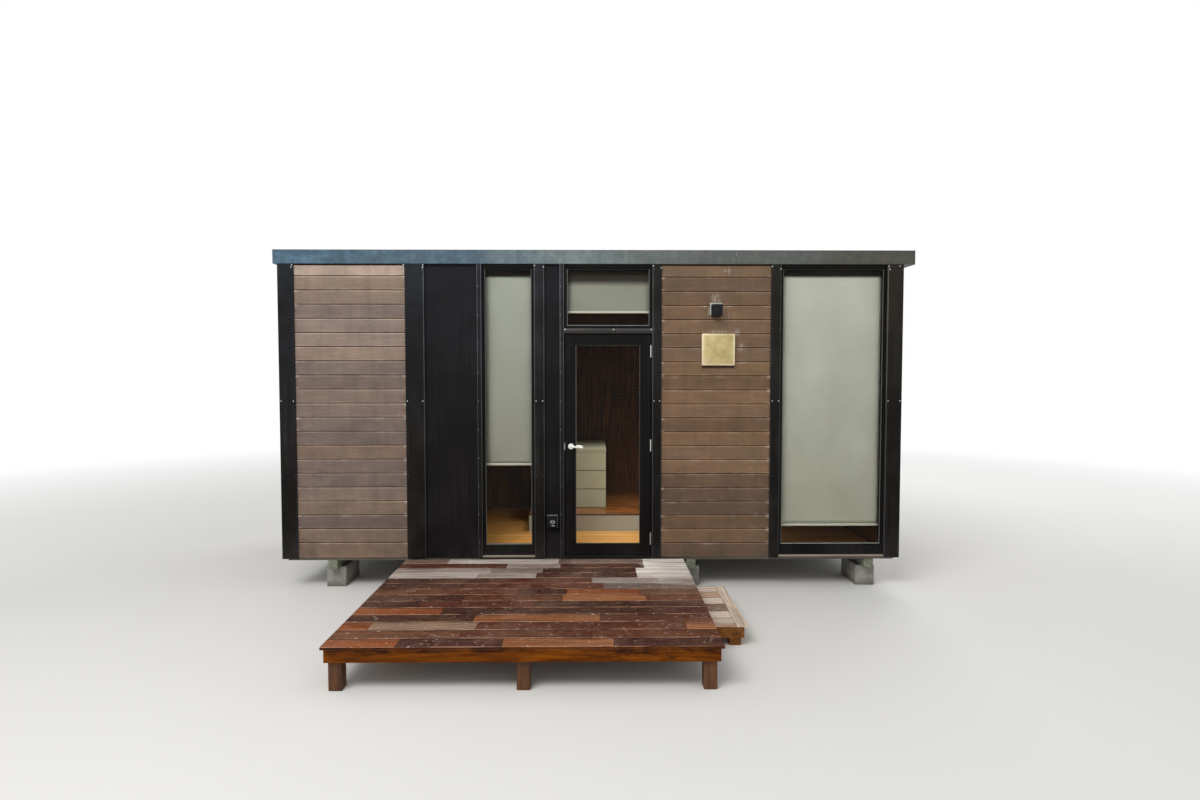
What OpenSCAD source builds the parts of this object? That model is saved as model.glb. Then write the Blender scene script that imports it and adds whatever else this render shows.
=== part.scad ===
// Garden office pod: a flat-roofed timber cabin on bearers and concrete blocks, with full-height
// windows, a glazed door that opens outwards, a low timber deck and a side step.
// House axes while building: X runs along the front with 0 at the pod's middle, Y runs from the
// front trims' face to the back, and Z is 0 on the ground. placed() moves them to the part's origin.

/* [Front bays, from left to right] */
// Width of each corner trim
corner_w = 150; // [120:5:180]
// Left cladding bay
clad_a_w = 1058; // [800:1:1400]
// Flat trim beside the left cladding
trim_b_w = 183; // [120:1:240]
// Wide flat black panel
panel_1_w = 505; // [300:1:700]
// Trim between the wide panel and the narrow window
trim_c_w = 43; // [42:1:70]
// Narrow window bay
narrow_w = 506; // [400:1:700]
// Trim right of the narrow window
trim_d_w = 97; // [80:1:140]
// Small flat black panel
panel_2_w = 148; // [130:1:300]
// Trim left of the door
trim_e_w = 41; // [41:1:70]
// Door bay, between the trims
door_bay_w = 852; // [780:1:960]
// Trim right of the door
trim_f_w = 87; // [70:1:140]
// Right cladding bay
clad_b_w = 1056; // [900:1:1400]
// Trim left of the big window
trim_g_w = 94; // [70:1:140]
// Big window bay
big_w = 1030; // [700:1:1500]

/* [Shell] */
// Depth of the pod over its trims
pod_d = 2400; // [2350:10:3000]
// Height from the cladding's foot line to the underside of the fascia
wall_h = 2846; // [2600:1:3000]
// Height of the foot line above the ground
base_h = 310; // [260:1:400]
// Thickness of the insulated wall panels
wall_t = 90; // [60:5:120]
// Thickness of the floor panel
floor_t = 60; // [50:1:80]
// How far the floor panel stands above the foot line
floor_up = 38; // [30:1:44]
// Thickness of the floor boards indoors
floor_board_t = 12; // [8:1:20]
// Thickness of the roof panel at the front
roof_t = 80; // [60:1:90]
// Fall of the roof from front to back
roof_fall = 30; // [10:1:40]

/* [Cladding and trims] */
// Set-back of the cladding face behind the trims
clad_recess = 22; // [15:1:30]
// Thickness of a cladding board
clad_t = 20; // [14:1:26]
// Height that one board covers
board_cover = 135.7; // [90:0.1:180]
// Height of the shadow groove above each board
groove_h = 8; // [4:0.5:12]
// Depth of the shadow groove
groove_d = 9; // [4:0.5:12]
// Chamfer along each board's top edge
board_arris = 5; // [2:0.5:6]
// Gap from the foot line to the first board
clad_foot = 8; // [4:1:20]
// Lip of the left panel's first board, which shows below its cover
first_lip_a = 15; // [2:1:30]
// Lip of the first board on the right panel, the ends and the back
first_lip_b = 6; // [2:1:30]
// Ventilation gap above the last board
clad_head = 15; // [8:1:25]
// Cladding that runs on behind a trim
clad_lap = 30; // [10:1:35]
// Thickness of the folded trim metal
trim_metal = 2; // [1:0.5:3]
// Slanted shoulder folded along both edges of a trim
shoulder = 5; // [2:0.5:8]
// Thickness of the flat black panels
panel_t = 10; // [6:1:12]
// Panel that runs on behind a trim
panel_lap = 5; // [3:1:6]

/* [Roof edge] */
// Height of the fascia
fascia_h = 132; // [125:1:170]
// Fascia beyond the left corner
over_left = 46; // [10:1:120]
// Fascia beyond the right corner
over_right = 112; // [10:1:150]
// Fascia beyond the back wall
over_back = 50; // [10:1:120]
// Width of the lip on top of the fascia
lip_w = 60; // [50:1:80]
// Height of the hem folded down from the lip
hem_h = 12; // [6:1:14]
// Reach of the folded drips along the fascia's foot and top
drip = 3; // [2:0.5:6]
// Distance of the front fascia's seam from the right cladding's left edge
seam_x = 715; // [300:1:800]
// Pitch of the roof sheet's ribs
rib_pitch = 200; // [150:5:300]
// Height of a roof rib
rib_h = 24; // [12:1:24]
// Thickness of the roof sheet
sheet_t = 1.5; // [1:0.5:2]
// Gap of the roof sheet above the roof panel
sheet_gap = 0.3; // [0.3:0.1:0.8]

/* [Windows] */
// Depth of a window or door frame
frame_d = 70; // [60:1:90]
// Part of a frame that lies hidden behind a trim
frame_lap = 35; // [25:1:35]
// Part of a window frame that shows beside the glass
frame_show = 28; // [20:1:40]
// Height of a frame's head below the fascia
head_show = 41; // [30:1:60]
// Height of the glass above the foot line
sill_rail = 130; // [80:1:200]
// Height of the frames' seat above the foot line
sill_seat = 10; // [5:1:20]
// Width of the glazing bead
bead_w = 9; // [6:1:12]
// Set-back of the glazing bead behind the frame's face
bead_back = 12; // [6:1:16]
// Thickness of the sealed glass units
glass_t = 24; // [18:1:28]
// Depth of the groove that holds the glass
glass_bite = 12; // [8:1:14]
// Clearance round the glass in its groove
glass_gap = 0.3; // [0.2:0.1:0.5]
// Reach of the sill nosing in front of the frame
nosing_reach = 18; // [10:1:20]
// Height of the sill nosing
nosing_h = 16; // [12:1:18]
// Fall of the sill nosing's top
nosing_fall = 4; // [2:1:6]

/* [Door] */
// Height of the leaf's top above the foot line
leaf_top = 2172; // [2000:1:2200]
// Thickness of the leaf
leaf_t = 40; // [36:1:44]
// Set-back of the leaf's face behind the frame's face
leaf_back = 2; // [2:0.5:3]
// Set-back of the leaf's bead behind its face
leaf_bead_back = 3; // [2:0.5:4]
// Width of the leaf's stiles and top rail
stile_w = 100; // [90:1:120]
// Height of the leaf's bottom rail
bottom_rail = 107; // [90:1:150]
// Frame that shows on the latch side
jamb_latch = 5; // [4:1:12]
// Frame that shows on the hinge side
jamb_hinge = 12; // [8:1:20]
// Running gap round the leaf
leaf_gap = 5; // [5:0.5:8]
// Extra gap on the latch side, for the leaf's swing
latch_extra = 2; // [2:0.5:4]
// Thickness of the threshold
threshold_t = 15; // [12:1:16]
// Height of the bar under the transom
transom_bar = 81; // [60:1:110]
// Reach of the door stop behind the leaf
stop_reach = 15; // [12:1:20]
// Height of the weather strip over the door
head_strip_h = 46; // [30:1:50]
// Reach of the weather strip in front of the frame
head_strip_reach = 12; // [8:1:18]
// Distance of the weather strip above the top of the door's opening
head_strip_up = 6; // [4:1:10]

/* [Hinges and handle] */
// Number of hinges
hinge_n = 3; // [2:1:4]
// Length of a hinge
hinge_l = 116; // [90:1:130]
// Radius of the knuckle
knuckle_r = 7; // [6:0.5:7]
// Gap between the knuckle and the frame's face
knuckle_off = 1; // [1:0.5:2]
// Radius of the hinge pin
pin_r = 3; // [2:0.1:4]
// Clearance of the pin in its bore
pin_clear = 0.06; // [0.03:0.01:0.1]
// Distance of the top and bottom hinges from the leaf's ends
hinge_inset = 160; // [120:1:260]
// Height of the lever above the foot line
handle_z = 1091; // [950:1:1150]
// Distance of the spindle from the leaf's latch edge
backset = 54; // [50:1:60]
// Radius of the rose
rose_r = 28; // [24:1:32]
// Thickness of the rose
rose_t = 9; // [6:1:12]
// Radius of the spindle
spindle_r = 7; // [5:0.5:8]
// Distance of the lever from the leaf's face
lever_off = 42; // [36:1:50]
// Length of the lever
lever_l = 116; // [90:1:130]
// Radius of the lever at its root
lever_r = 10; // [8:0.5:12]

/* [Blinds] */
// Height of a blind's head box
blind_box_h = 90; // [60:1:110]
// Depth of a blind's head box
blind_box_d = 34; // [30:1:36]
// Height of the narrow blind's bottom above the foot line
narrow_drop = 896; // [300:1:1500]
// Height of the big blind's bottom above the foot line
big_drop = 291; // [200:1:1500]
// Height of the transom blind's bottom above the foot line
transom_drop = 2384; // [2300:1:2500]
// Thickness of the blind cloth
cloth_t = 1; // [0.8:0.1:2]
// Height of a blind's bottom bar
bar_h = 22; // [16:1:30]
// Thickness of a blind's bottom bar
bar_t = 10; // [6:1:14]

/* [Fittings] */
// Width of the sign plate
sign_w = 319; // [250:1:360]
// Height of the sign plate
sign_h = 306; // [250:1:360]
// Thickness of the sign plate
sign_t = 30; // [8:1:36]
// Height of the sign's foot above the foot line
sign_z = 1875; // [1500:1:2000]
// Distance of the sign from the cladding bay's left edge
sign_x = 388; // [200:1:450]
// Width of the wall light
light_w = 94; // [80:1:130]
// Height of the wall light
light_h = 104; // [90:1:150]
// Reach of the wall light from the cladding
light_d = 96; // [60:1:120]
// Height of the light's foot above the foot line
light_z = 2353; // [2250:1:2450]
// Distance of the light from the cladding bay's left edge
light_x = 479; // [300:1:550]
// Width of the outdoor power outlet
outlet_w = 104; // [90:1:120]
// Height of the outdoor power outlet
outlet_h = 120; // [100:1:140]
// Depth of the outdoor power outlet
outlet_d = 52; // [40:1:70]
// Height of the outlet's foot above the foot line
outlet_z = 304; // [200:1:500]

/* [Ground supports] */
// Number of bearers under the floor
bearer_n = 4; // [3:1:6]
// Width and height of a bearer
bearer_w = 90; // [70:1:100]
// Middle of the first bearer from the left corner
bearer_left = 470; // [300:1:600]
// Middle of the last bearer from the right corner
bearer_right = 280; // [250:1:600]
// Length of a concrete block
block_l = 390; // [300:1:400]
// Width of a concrete block
block_w = 190; // [150:1:200]
// Middle of the blocks from the front and back
block_in = 330; // [300:1:500]

/* [Deck] */
// Width of the deck
deck_w = 2687; // [2300:1:3000]
// Depth of the deck
deck_d = 2141; // [1700:1:2400]
// Right edge of the deck beyond the door bay
deck_beyond = 305; // [200:1:450]
// Drop of the deck boards' top below the foot line
deck_drop = 5; // [3:1:30]
// Gap between the boards and the front trims
deck_wall_gap = 5; // [3:1:10]
// Nominal pitch of the deck boards
deck_pitch = 150; // [100:1:160]
// Gap between deck boards
deck_gap = 6; // [3:1:8]
// Thickness of a deck board
deck_board_t = 21; // [18:1:28]
// Gap at a butt joint
butt_gap = 3; // [2:0.5:5]
// Overhang of the boards past the deck's sides
deck_over = 24; // [22:1:40]
// Height of the deck's fascia boards
deck_fascia_h = 85; // [70:1:95]
// Thickness of the deck's fascia boards
deck_fascia_t = 22; // [18:1:26]
// Thickness of a joist
joist_t = 45; // [35:1:50]
// Height of a joist
joist_h = 90; // [80:1:100]
// Widest spacing of the joists
joist_pitch = 450; // [400:10:600]
// Side of a square post
post_w = 90; // [75:1:100]

/* [Side step] */
// Drop of the step's top below the foot line
step_drop = 140; // [125:1:150]
// Width of the step's top
step_w = 342; // [280:1:420]
// Length of the step along the deck
step_l = 960; // [700:1:1200]
// Distance of the step from the deck's back edge
step_back = 435; // [300:1:700]
// Width of the edge board that closes the step's right side
step_edge_w = 85; // [60:1:120]
// Height of the step's frame boards
step_frame_h = 85; // [70:1:90]
// Rise of the hanger board onto the deck's side
hanger_rise = 60; // [50:1:80]

/* [Indoors] */
// Distance of the raised platform's face from the front trims
platform_y = 920; // [800:1:1100]
// Height of the platform's top above the foot line
platform_z = 246; // [200:1:300]
// Width of the platform
platform_w = 1560; // [1400:1:1900]
// Platform that shows left of the drawers
platform_left = 60; // [20:1:200]
// Thickness of the platform's top board
platform_top_t = 18; // [12:1:25]
// Distance of the drawer fronts from the front trims
drawer_y = 1273; // [1200:1:1400]
// Distance of the drawers' right side from the door bay's left edge
drawer_x = 431; // [300:1:600]
// Width of the drawer unit
drawer_w = 800; // [500:1:900]
// Pitch of the drawer fronts
drawer_pitch = 215; // [150:1:240]
// Number of drawers
drawer_n = 3; // [2:1:4]
// Gap round a drawer front
drawer_gap = 4; // [3:1:6]
// Thickness of a drawer front
drawer_front_t = 18; // [15:1:22]
// Thickness of the worktop
worktop_t = 38; // [25:1:45]

/* [Hidden] */
$fn = 48;
eps = 1;

// Bay edges along the front, each from the one before it
pod_l = 2 * corner_w + clad_a_w + trim_b_w + panel_1_w + trim_c_w + narrow_w + trim_d_w
      + panel_2_w + trim_e_w + door_bay_w + trim_f_w + clad_b_w + trim_g_w + big_w;
x_left = -pod_l / 2;
x_right = pod_l / 2;
x_clad_a = x_left + corner_w;
x_trim_b = x_clad_a + clad_a_w;
x_panel_1 = x_trim_b + trim_b_w;
x_trim_c = x_panel_1 + panel_1_w;
x_narrow = x_trim_c + trim_c_w;
x_trim_d = x_narrow + narrow_w;
x_panel_2 = x_trim_d + trim_d_w;
x_trim_e = x_panel_2 + panel_2_w;
x_door = x_trim_e + trim_e_w;
x_trim_f = x_door + door_bay_w;
x_clad_b = x_trim_f + trim_f_w;
x_trim_g = x_clad_b + clad_b_w;
x_big = x_trim_g + trim_g_w;
x_big_end = x_big + big_w;

// Layers from the trims' face inwards
shell_in = clad_recess + clad_t;
wall_in = shell_in + wall_t;
panel_face = shell_in - panel_t;
frame_back = clad_recess + frame_d;
glass_y = clad_recess + frame_d / 2 - glass_t / 2;

// Heights above the ground
z_eaves = base_h + wall_h;
z_top = z_eaves + fascia_h;
z_floor = base_h + floor_up;
z_room = z_floor + floor_board_t;
z_seat = base_h + sill_seat;
z_under = z_floor - floor_t;
z_glass = base_h + sill_rail;
z_glass_top = z_eaves - head_show;

// Height that the cladding fills
clad_h = wall_h - clad_foot - clad_head;

// Door
x_leaf = x_door + jamb_latch + leaf_gap + latch_extra;
x_leaf_end = x_trim_f - jamb_hinge - leaf_gap;
leaf_y = clad_recess + leaf_back;
z_leaf = z_seat + threshold_t + leaf_gap;
z_leaf_top = base_h + leaf_top;
z_bar = z_leaf_top + leaf_gap;
z_transom = z_bar + transom_bar;
hinge_x = x_leaf_end + leaf_gap / 2;
hinge_y = clad_recess - knuckle_off - knuckle_r;
handle_x = x_leaf + backset;

// Deck and step
x_deck_end = x_trim_f + deck_beyond;
x_deck = x_deck_end - deck_w;
z_deck = base_h - deck_drop;
z_joist = z_deck - deck_board_t;
row_n = round((deck_d - deck_wall_gap + deck_gap) / deck_pitch);
row = (deck_d - deck_wall_gap + deck_gap) / row_n;
x_step = x_deck_end - deck_over;
z_step = base_h - step_drop;
y_step = -step_back - step_l;
z_step_frame = z_step - deck_board_t - step_frame_h;

// Butt joints of the deck's rows, from the front row back, measured from the left end
ROW_JOINTS = [[494, 1199, 1949], [889, 1799], [209, 974, 2474], [929, 1859], [659, 2249],
              [450, 1350, 2100], [764, 1559, 2234], [1199, 1589, 2189], [700, 1900],
              [1100, 2000], [600, 1500, 2300], [900, 1800], [450, 1350, 2150], [1000, 1950]];

// The part's origin is under the middle of its box
x_mid = (over_right - over_left) / 2;
y_mid = (pod_d + over_back - deck_d) / 2;

module placed() {
    translate([-x_mid, -y_mid, 0]) children();
}

// A box between two opposite corners
module span(a, b) {
    translate(a) cube(b - a);
}

// A profile drawn in Y and Z, run along X from x0 to x1
module along_x(x0, x1) {
    translate([x0, 0, 0]) rotate([90, 0, 90]) linear_extrude(x1 - x0) children();
}

// A profile drawn in X and Y, raised from z0 to z1
module upright(z0, z1) {
    translate([0, 0, z0]) linear_extrude(z1 - z0) children();
}

// Ground supports

function bearer_x(i) = x_left + bearer_left
    + i * (pod_l - bearer_left - bearer_right) / (bearer_n - 1);

module pier_blocks() {
    color([0.62, 0.61, 0.58])
    for (i = [0 : bearer_n - 1], y = [block_in, pod_d - block_in])
        span([bearer_x(i) - block_w / 2, y - block_l / 2, 0],
             [bearer_x(i) + block_w / 2, y + block_l / 2, z_under - bearer_w]);
}

module ground_bearers() {
    color([0.60, 0.56, 0.45])
    for (i = [0 : bearer_n - 1])
        span([bearer_x(i) - bearer_w / 2, shell_in, z_under - bearer_w],
             [bearer_x(i) + bearer_w / 2, pod_d - shell_in, z_under]);
}

// Floor, walls and roof panels

// The part of the front that a frame fills
module frame_space(x0, x1, y0, y1, z0, z1) {
    span([x0 - frame_lap, y0, z0], [x1 + frame_lap, y1, z1]);
}

module floor_panel() {
    color([0.25, 0.25, 0.26])
    difference() {
        span([x_left + shell_in, shell_in, z_under], [x_right - shell_in, pod_d - shell_in, z_floor]);
        for (bay = [[x_narrow, x_trim_d], [x_door, x_trim_f], [x_big, x_big_end]])
            frame_space(bay[0], bay[1], 0, frame_back, z_seat, z_floor + eps);
    }
}

module floor_boards() {
    color([0.84, 0.62, 0.33])
    union() {
        span([x_left + wall_in, wall_in, z_floor], [x_right - wall_in, pod_d - wall_in, z_room]);
        for (bay = [[x_narrow, x_trim_d], [x_door, x_trim_f], [x_big, x_big_end]])
            frame_space(bay[0], bay[1], frame_back, wall_in, z_floor, z_room);
    }
}

module front_wall(x0, x1) {
    span([x0, shell_in, z_floor], [x1, wall_in, z_eaves]);
}

module front_wall_left() {
    color([0.75, 0.70, 0.62]) front_wall(x_left + shell_in, x_narrow - frame_lap);
}

module front_wall_middle() {
    color([0.75, 0.70, 0.62]) front_wall(x_trim_d + frame_lap, x_door - frame_lap);
}

module front_wall_right() {
    color([0.75, 0.70, 0.62]) {
        front_wall(x_trim_f + frame_lap, x_big - frame_lap);
        front_wall(x_big_end + frame_lap, x_right - shell_in);
    }
}

module back_wall() {
    color([0.75, 0.70, 0.62])
    span([x_left + shell_in, pod_d - wall_in, z_floor], [x_right - shell_in, pod_d - shell_in, z_eaves]);
}

module side_wall(x0) {
    span([x0, wall_in, z_floor], [x0 + wall_t, pod_d - wall_in, z_eaves]);
}

module left_wall() {
    color([0.75, 0.70, 0.62]) side_wall(x_left + shell_in);
}

module right_wall() {
    color([0.75, 0.70, 0.62]) side_wall(x_right - wall_in);
}

module roof_panel() {
    color([0.55, 0.55, 0.53])
    along_x(x_left + shell_in, x_right - shell_in)
    polygon([[shell_in, z_eaves], [pod_d - shell_in, z_eaves],
             [pod_d - shell_in, z_eaves + roof_t - roof_fall], [shell_in, z_eaves + roof_t]]);
}

// Points along n trapezoid ribs of the roof sheet, at height z
rib_foot = 44;
rib_crown = 20;
function rib_line(n, pitch, z) = [for (i = [0 : n - 1]) let (x = (i + 0.5) * pitch)
    each [[x - rib_foot / 2, z], [x - rib_crown / 2, z + rib_h],
          [x + rib_crown / 2, z + rib_h], [x + rib_foot / 2, z]]];
function reversed(list) = [for (i = [len(list) - 1 : -1 : 0]) list[i]];

module roof_sheet() {
    room = pod_l - 2 * shell_in;
    n = round(room / rib_pitch);
    pitch = room / n;
    run = pod_d - 2 * shell_in;
    slope = atan(roof_fall / run);
    lower = concat([[0, 0]], rib_line(n, pitch, 0), [[room, 0]]);
    upper = concat([[0, sheet_t]], rib_line(n, pitch, sheet_t), [[room, sheet_t]]);
    color([0.42, 0.43, 0.44])
    translate([x_left + shell_in, shell_in, z_eaves + roof_t + sheet_gap])
    rotate([-slope, 0, 0])
    rotate([90, 0, 180]) mirror([1, 0, 0])
    linear_extrude(run)
    polygon(concat(lower, reversed(upper)));
}

// The folded fascia: a face all round with a drip at its foot and top, a soffit back to the roof
// panel, and a lip with a hem
module fascia_ring() {
    x0 = x_left - over_left;
    x1 = x_right + over_right;
    y1 = pod_d + over_back;
    m = trim_metal;
    in = drip + m;
    difference() {
        union() {
            span([x0 + drip, drip, z_eaves], [x1 - drip, y1 - drip, z_top]);
            span([x0, 0, z_eaves], [x1, y1, z_eaves + m]);
            span([x0, 0, z_top - m], [x1, y1, z_top]);
        }
        span([x0 + in, in, z_eaves + m], [x1 - in, y1 - in, z_top - m]);
        span([x_left + shell_in, shell_in, z_eaves - eps],
             [x_right - shell_in, pod_d - shell_in, z_top - m]);
        span([x0 + lip_w, lip_w, z_eaves + m], [x1 - lip_w, y1 - lip_w, z_top + eps]);
    }
    difference() {
        span([x0 + lip_w - m, lip_w - m, z_top - hem_h], [x1 - lip_w + m, y1 - lip_w + m, z_top]);
        span([x0 + lip_w, lip_w, z_top - hem_h - eps], [x1 - lip_w, y1 - lip_w, z_top + eps]);
    }
}

// A slit at 45 degrees through one corner of the fascia, where two lengths meet
module mitre_slit(x, y, turn) {
    slit = 1;
    translate([x, y, z_eaves - eps]) rotate([0, 0, turn])
    translate([-lip_w, -slit / 2, 0]) cube([6 * lip_w, slit, fascia_h + 2 * eps]);
}

module roof_fascia() {
    x0 = x_left - over_left;
    x1 = x_right + over_right;
    y1 = pod_d + over_back;
    seam = x_clad_b + seam_x;
    color([0.26, 0.29, 0.31])
    difference() {
        fascia_ring();
        mitre_slit(x0, 0, 45);
        mitre_slit(x1, 0, 135);
        mitre_slit(x1, y1, 225);
        mitre_slit(x0, y1, 315);
        span([seam, -eps, z_eaves - eps], [seam + 1, 2 * lip_w, z_top + eps]);
    }
}

// Shiplap cladding: full courses from the foot up, and a last board cut to the height. A full
// course has a plain face, a chamfered top edge and a shadow groove above it

function course_points(z, end) = let (top = end - groove_h)
    [[0, z], [0, top - board_arris], [board_arris, top], [groove_d, top], [groove_d, end]];

// The cladding's section, with its face at 0 and its back at clad_t
module cladding_section(first_lip) {
    full = floor((clad_h - first_lip - 2 * groove_h) / board_cover);
    foot = [for (i = [0 : full]) i == 0 ? 0 : first_lip + i * board_cover];
    face = [for (i = [0 : full - 1]) each course_points(foot[i], foot[i + 1])];
    polygon(concat(face, [[0, foot[full]], [0, clad_h], [clad_t, clad_h], [clad_t, 0]]));
}

module cladding(x0, x1, first_lip) {
    translate([0, clad_recess, base_h + clad_foot]) along_x(x0, x1) cladding_section(first_lip);
}

module front_cladding_left() {
    color([0.55, 0.47, 0.43]) cladding(x_clad_a - clad_lap, x_trim_b + clad_lap, first_lip_a);
}

module front_cladding_right() {
    color([0.43, 0.33, 0.28]) cladding(x_clad_b - clad_lap, x_trim_g + clad_lap, first_lip_b);
}

// Cladding of one end, for a wall that runs from y0 to y1
module end_cladding(y0, y1) {
    translate([x_left, 0, 0]) rotate([0, 0, -90]) mirror([1, 0, 0]) cladding(y0, y1, first_lip_b);
}

module side_cladding() {
    y0 = corner_w - clad_lap;
    y1 = pod_d - corner_w + clad_lap;
    color([0.50, 0.42, 0.37]) {
        end_cladding(y0, y1);
        mirror([1, 0, 0]) end_cladding(y0, y1);
    }
}

module back_cladding() {
    x0 = x_left + corner_w - clad_lap;
    color([0.48, 0.40, 0.35])
    translate([0, pod_d, 0]) mirror([0, 1, 0]) cladding(x0, -x0, first_lip_b);
}

module flat_panel(x0, x1) {
    span([x0 - panel_lap, panel_face, base_h], [x1 + panel_lap, shell_in, z_eaves]);
}

module flat_panels() {
    color([0.11, 0.11, 0.13]) {
        flat_panel(x_panel_1, x_trim_c);
        flat_panel(x_panel_2, x_trim_e);
    }
}

// A folded cover trim: a face, a slanted shoulder along both edges, and a return at each side that
// is as deep as what it rests on. fold_in is where the metal's inner face turns at a 45 degree fold.
module trim(x0, x1, left_depth, right_depth) {
    m = trim_metal;
    s = shoulder;
    fold_in = m * tan(22.5);
    upright(base_h, z_eaves)
    polygon([[x0 + s, 0], [x1 - s, 0], [x1, s], [x1, right_depth],
             [x1 - m, right_depth], [x1 - m, s + fold_in], [x1 - s - fold_in, m],
             [x0 + s + fold_in, m], [x0 + m, s + fold_in], [x0 + m, left_depth], [x0, left_depth],
             [x0, s]]);
}

module wall_trims() {
    on_clad = clad_recess;
    back_x = pod_l / 6;
    color([0.13, 0.13, 0.15]) {
        trim(x_trim_b, x_panel_1, on_clad, panel_face);
        trim(x_trim_c, x_narrow, panel_face, on_clad);
        trim(x_trim_d, x_panel_2, on_clad, panel_face);
        trim(x_trim_e, x_door, panel_face, on_clad);
        trim(x_trim_f, x_clad_b, on_clad, on_clad);
        trim(x_trim_g, x_big, on_clad, on_clad);
        translate([0, pod_d, 0]) mirror([0, 1, 0])
        for (side = [-1, 1])
            trim(side * back_x - trim_d_w / 2, side * back_x + trim_d_w / 2, on_clad, on_clad);
    }
}

// The folded trim of the front left corner, with the same shoulders along its two outer edges
module corner_trim() {
    m = trim_metal;
    s = shoulder;
    w = corner_w;
    r = clad_recess;
    fold_in = m * tan(22.5);
    translate([x_left, 0, 0]) upright(base_h, z_eaves)
    polygon([[0, 0], [w - s, 0], [w, s], [w, r], [w - m, r], [w - m, s + fold_in],
             [w - s - fold_in, m], [m, m], [m, w - s - fold_in], [s + fold_in, w - m],
             [r, w - m], [r, w], [s, w], [0, w - s]]);
}

module corner_trims() {
    color([0.13, 0.13, 0.15]) {
        corner_trim();
        mirror([1, 0, 0]) corner_trim();
        translate([0, pod_d, 0]) mirror([0, 1, 0]) {
            corner_trim();
            mirror([1, 0, 0]) corner_trim();
        }
    }
}

// Windows and door frame

// What one sheet of glass takes out of a frame: the opening, the bead's step and the groove
module glazing_cut(x0, x1, z0, z1) {
    y0 = clad_recess;
    span([x0, y0 - eps, z0], [x1, frame_back + eps, z1]);
    span([x0 - bead_w, y0 - eps, z0 - bead_w], [x1 + bead_w, y0 + bead_back, z1 + bead_w]);
    span([x0 - glass_bite, glass_y, z0 - glass_bite],
         [x1 + glass_bite, glass_y + glass_t, z1 + glass_bite]);
}

// The sealed unit that stands in such a groove
module glass_unit(x0, x1, z0, z1) {
    b = glass_bite - glass_gap;
    span([x0 - b, glass_y + glass_gap, z0 - b], [x1 + b, glass_y + glass_t - glass_gap, z1 + b]);
}

// The sill's sloped nosing, in front of the frame and between the trims
module nosing(x0, x1, foot) {
    y0 = clad_recess;
    along_x(x0, x1)
    polygon([[y0, foot], [y0 - nosing_reach, foot], [y0 - nosing_reach, foot + nosing_h - nosing_fall],
             [y0, foot + nosing_h]]);
}

module window_frame(x0, x1) {
    difference() {
        frame_space(x0, x1, clad_recess, frame_back, z_seat, z_eaves);
        glazing_cut(x0 + frame_show, x1 - frame_show, z_glass, z_glass_top);
    }
    nosing(x0 + eps, x1 - eps, z_seat);
}

module narrow_window_frame() {
    color([0.12, 0.12, 0.13]) window_frame(x_narrow, x_trim_d);
}

module big_window_frame() {
    color([0.12, 0.12, 0.13]) window_frame(x_big, x_big_end);
}

module window_glass() {
    color([0.70, 0.75, 0.72, 0.4]) {
        glass_unit(x_narrow + frame_show, x_trim_d - frame_show, z_glass, z_glass_top);
        glass_unit(x_big + frame_show, x_big_end - frame_show, z_glass, z_glass_top);
        glass_unit(x_door + frame_show, x_trim_f - frame_show, z_transom, z_glass_top);
    }
}

// The weather strip over the door, with a sloped top and a small drip at its foot
module head_strip(x0, x1) {
    y0 = clad_recess;
    y1 = clad_recess - head_strip_reach;
    z0 = z_bar + head_strip_up;
    z1 = z0 + head_strip_h;
    fold = 3;
    along_x(x0, x1)
    polygon([[y0, z0 + fold], [y1 + fold, z0 + fold], [y1 + fold, z0], [y1, z0],
             [y1, z1 - 2 * fold], [y0, z1]]);
}

module door_frame() {
    stop_y = leaf_y + leaf_t + leaf_gap;
    x0 = x_door + jamb_latch;
    x1 = x_trim_f - jamb_hinge;
    color([0.12, 0.12, 0.13]) {
        difference() {
            frame_space(x_door, x_trim_f, clad_recess, frame_back, z_seat, z_eaves);
            glazing_cut(x_door + frame_show, x_trim_f - frame_show, z_transom, z_glass_top);
            span([x0, 0, z_seat + threshold_t], [x1, stop_y, z_bar]);
            span([x0 + stop_reach, 0, z_seat + threshold_t],
                 [x1 - stop_reach, frame_back + eps, z_bar - stop_reach]);
        }
        nosing(x_door + eps, x_trim_f - eps, z_seat - threshold_t / 2);
        head_strip(x_door + eps, x_trim_f - eps);
    }
}

// The door and what moves with it

module door_leaf() {
    x0 = x_leaf + stile_w;
    x1 = x_leaf_end - stile_w;
    z0 = z_leaf + bottom_rail;
    z1 = z_leaf_top - stile_w;
    groove_y = leaf_y + (leaf_t - glass_t) / 2;
    bore_r = spindle_r + pin_clear;
    color([0.11, 0.11, 0.12])
    difference() {
        span([x_leaf, leaf_y, z_leaf], [x_leaf_end, leaf_y + leaf_t, z_leaf_top]);
        span([x0, 0, z0], [x1, frame_back, z1]);
        span([x0 - bead_w, 0, z0 - bead_w], [x1 + bead_w, leaf_y + leaf_bead_back, z1 + bead_w]);
        span([x0 - glass_bite, groove_y, z0 - glass_bite],
             [x1 + glass_bite, groove_y + glass_t, z1 + glass_bite]);
        translate([handle_x, 0, base_h + handle_z]) rotate([-90, 0, 0])
            cylinder(r = bore_r, h = frame_back);
    }
}

module door_glass() {
    b = glass_bite - glass_gap;
    groove_y = leaf_y + (leaf_t - glass_t) / 2;
    color([0.70, 0.75, 0.72, 0.4])
    span([x_leaf + stile_w - b, groove_y + glass_gap, z_leaf + bottom_rail - b],
         [x_leaf_end - stile_w + b, groove_y + glass_t - glass_gap, z_leaf_top - stile_w + b]);
}

// Heights of the hinges' lower ends
function hinge_z(i) = z_leaf + hinge_inset - hinge_l / 2 + i
    * (z_leaf_top - z_leaf - 2 * hinge_inset) / (hinge_n - 1);

plate_t = 2;
plate_d = 36;
knuckle_gap = 0.4;
knuckle_share = 0.3;

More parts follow.
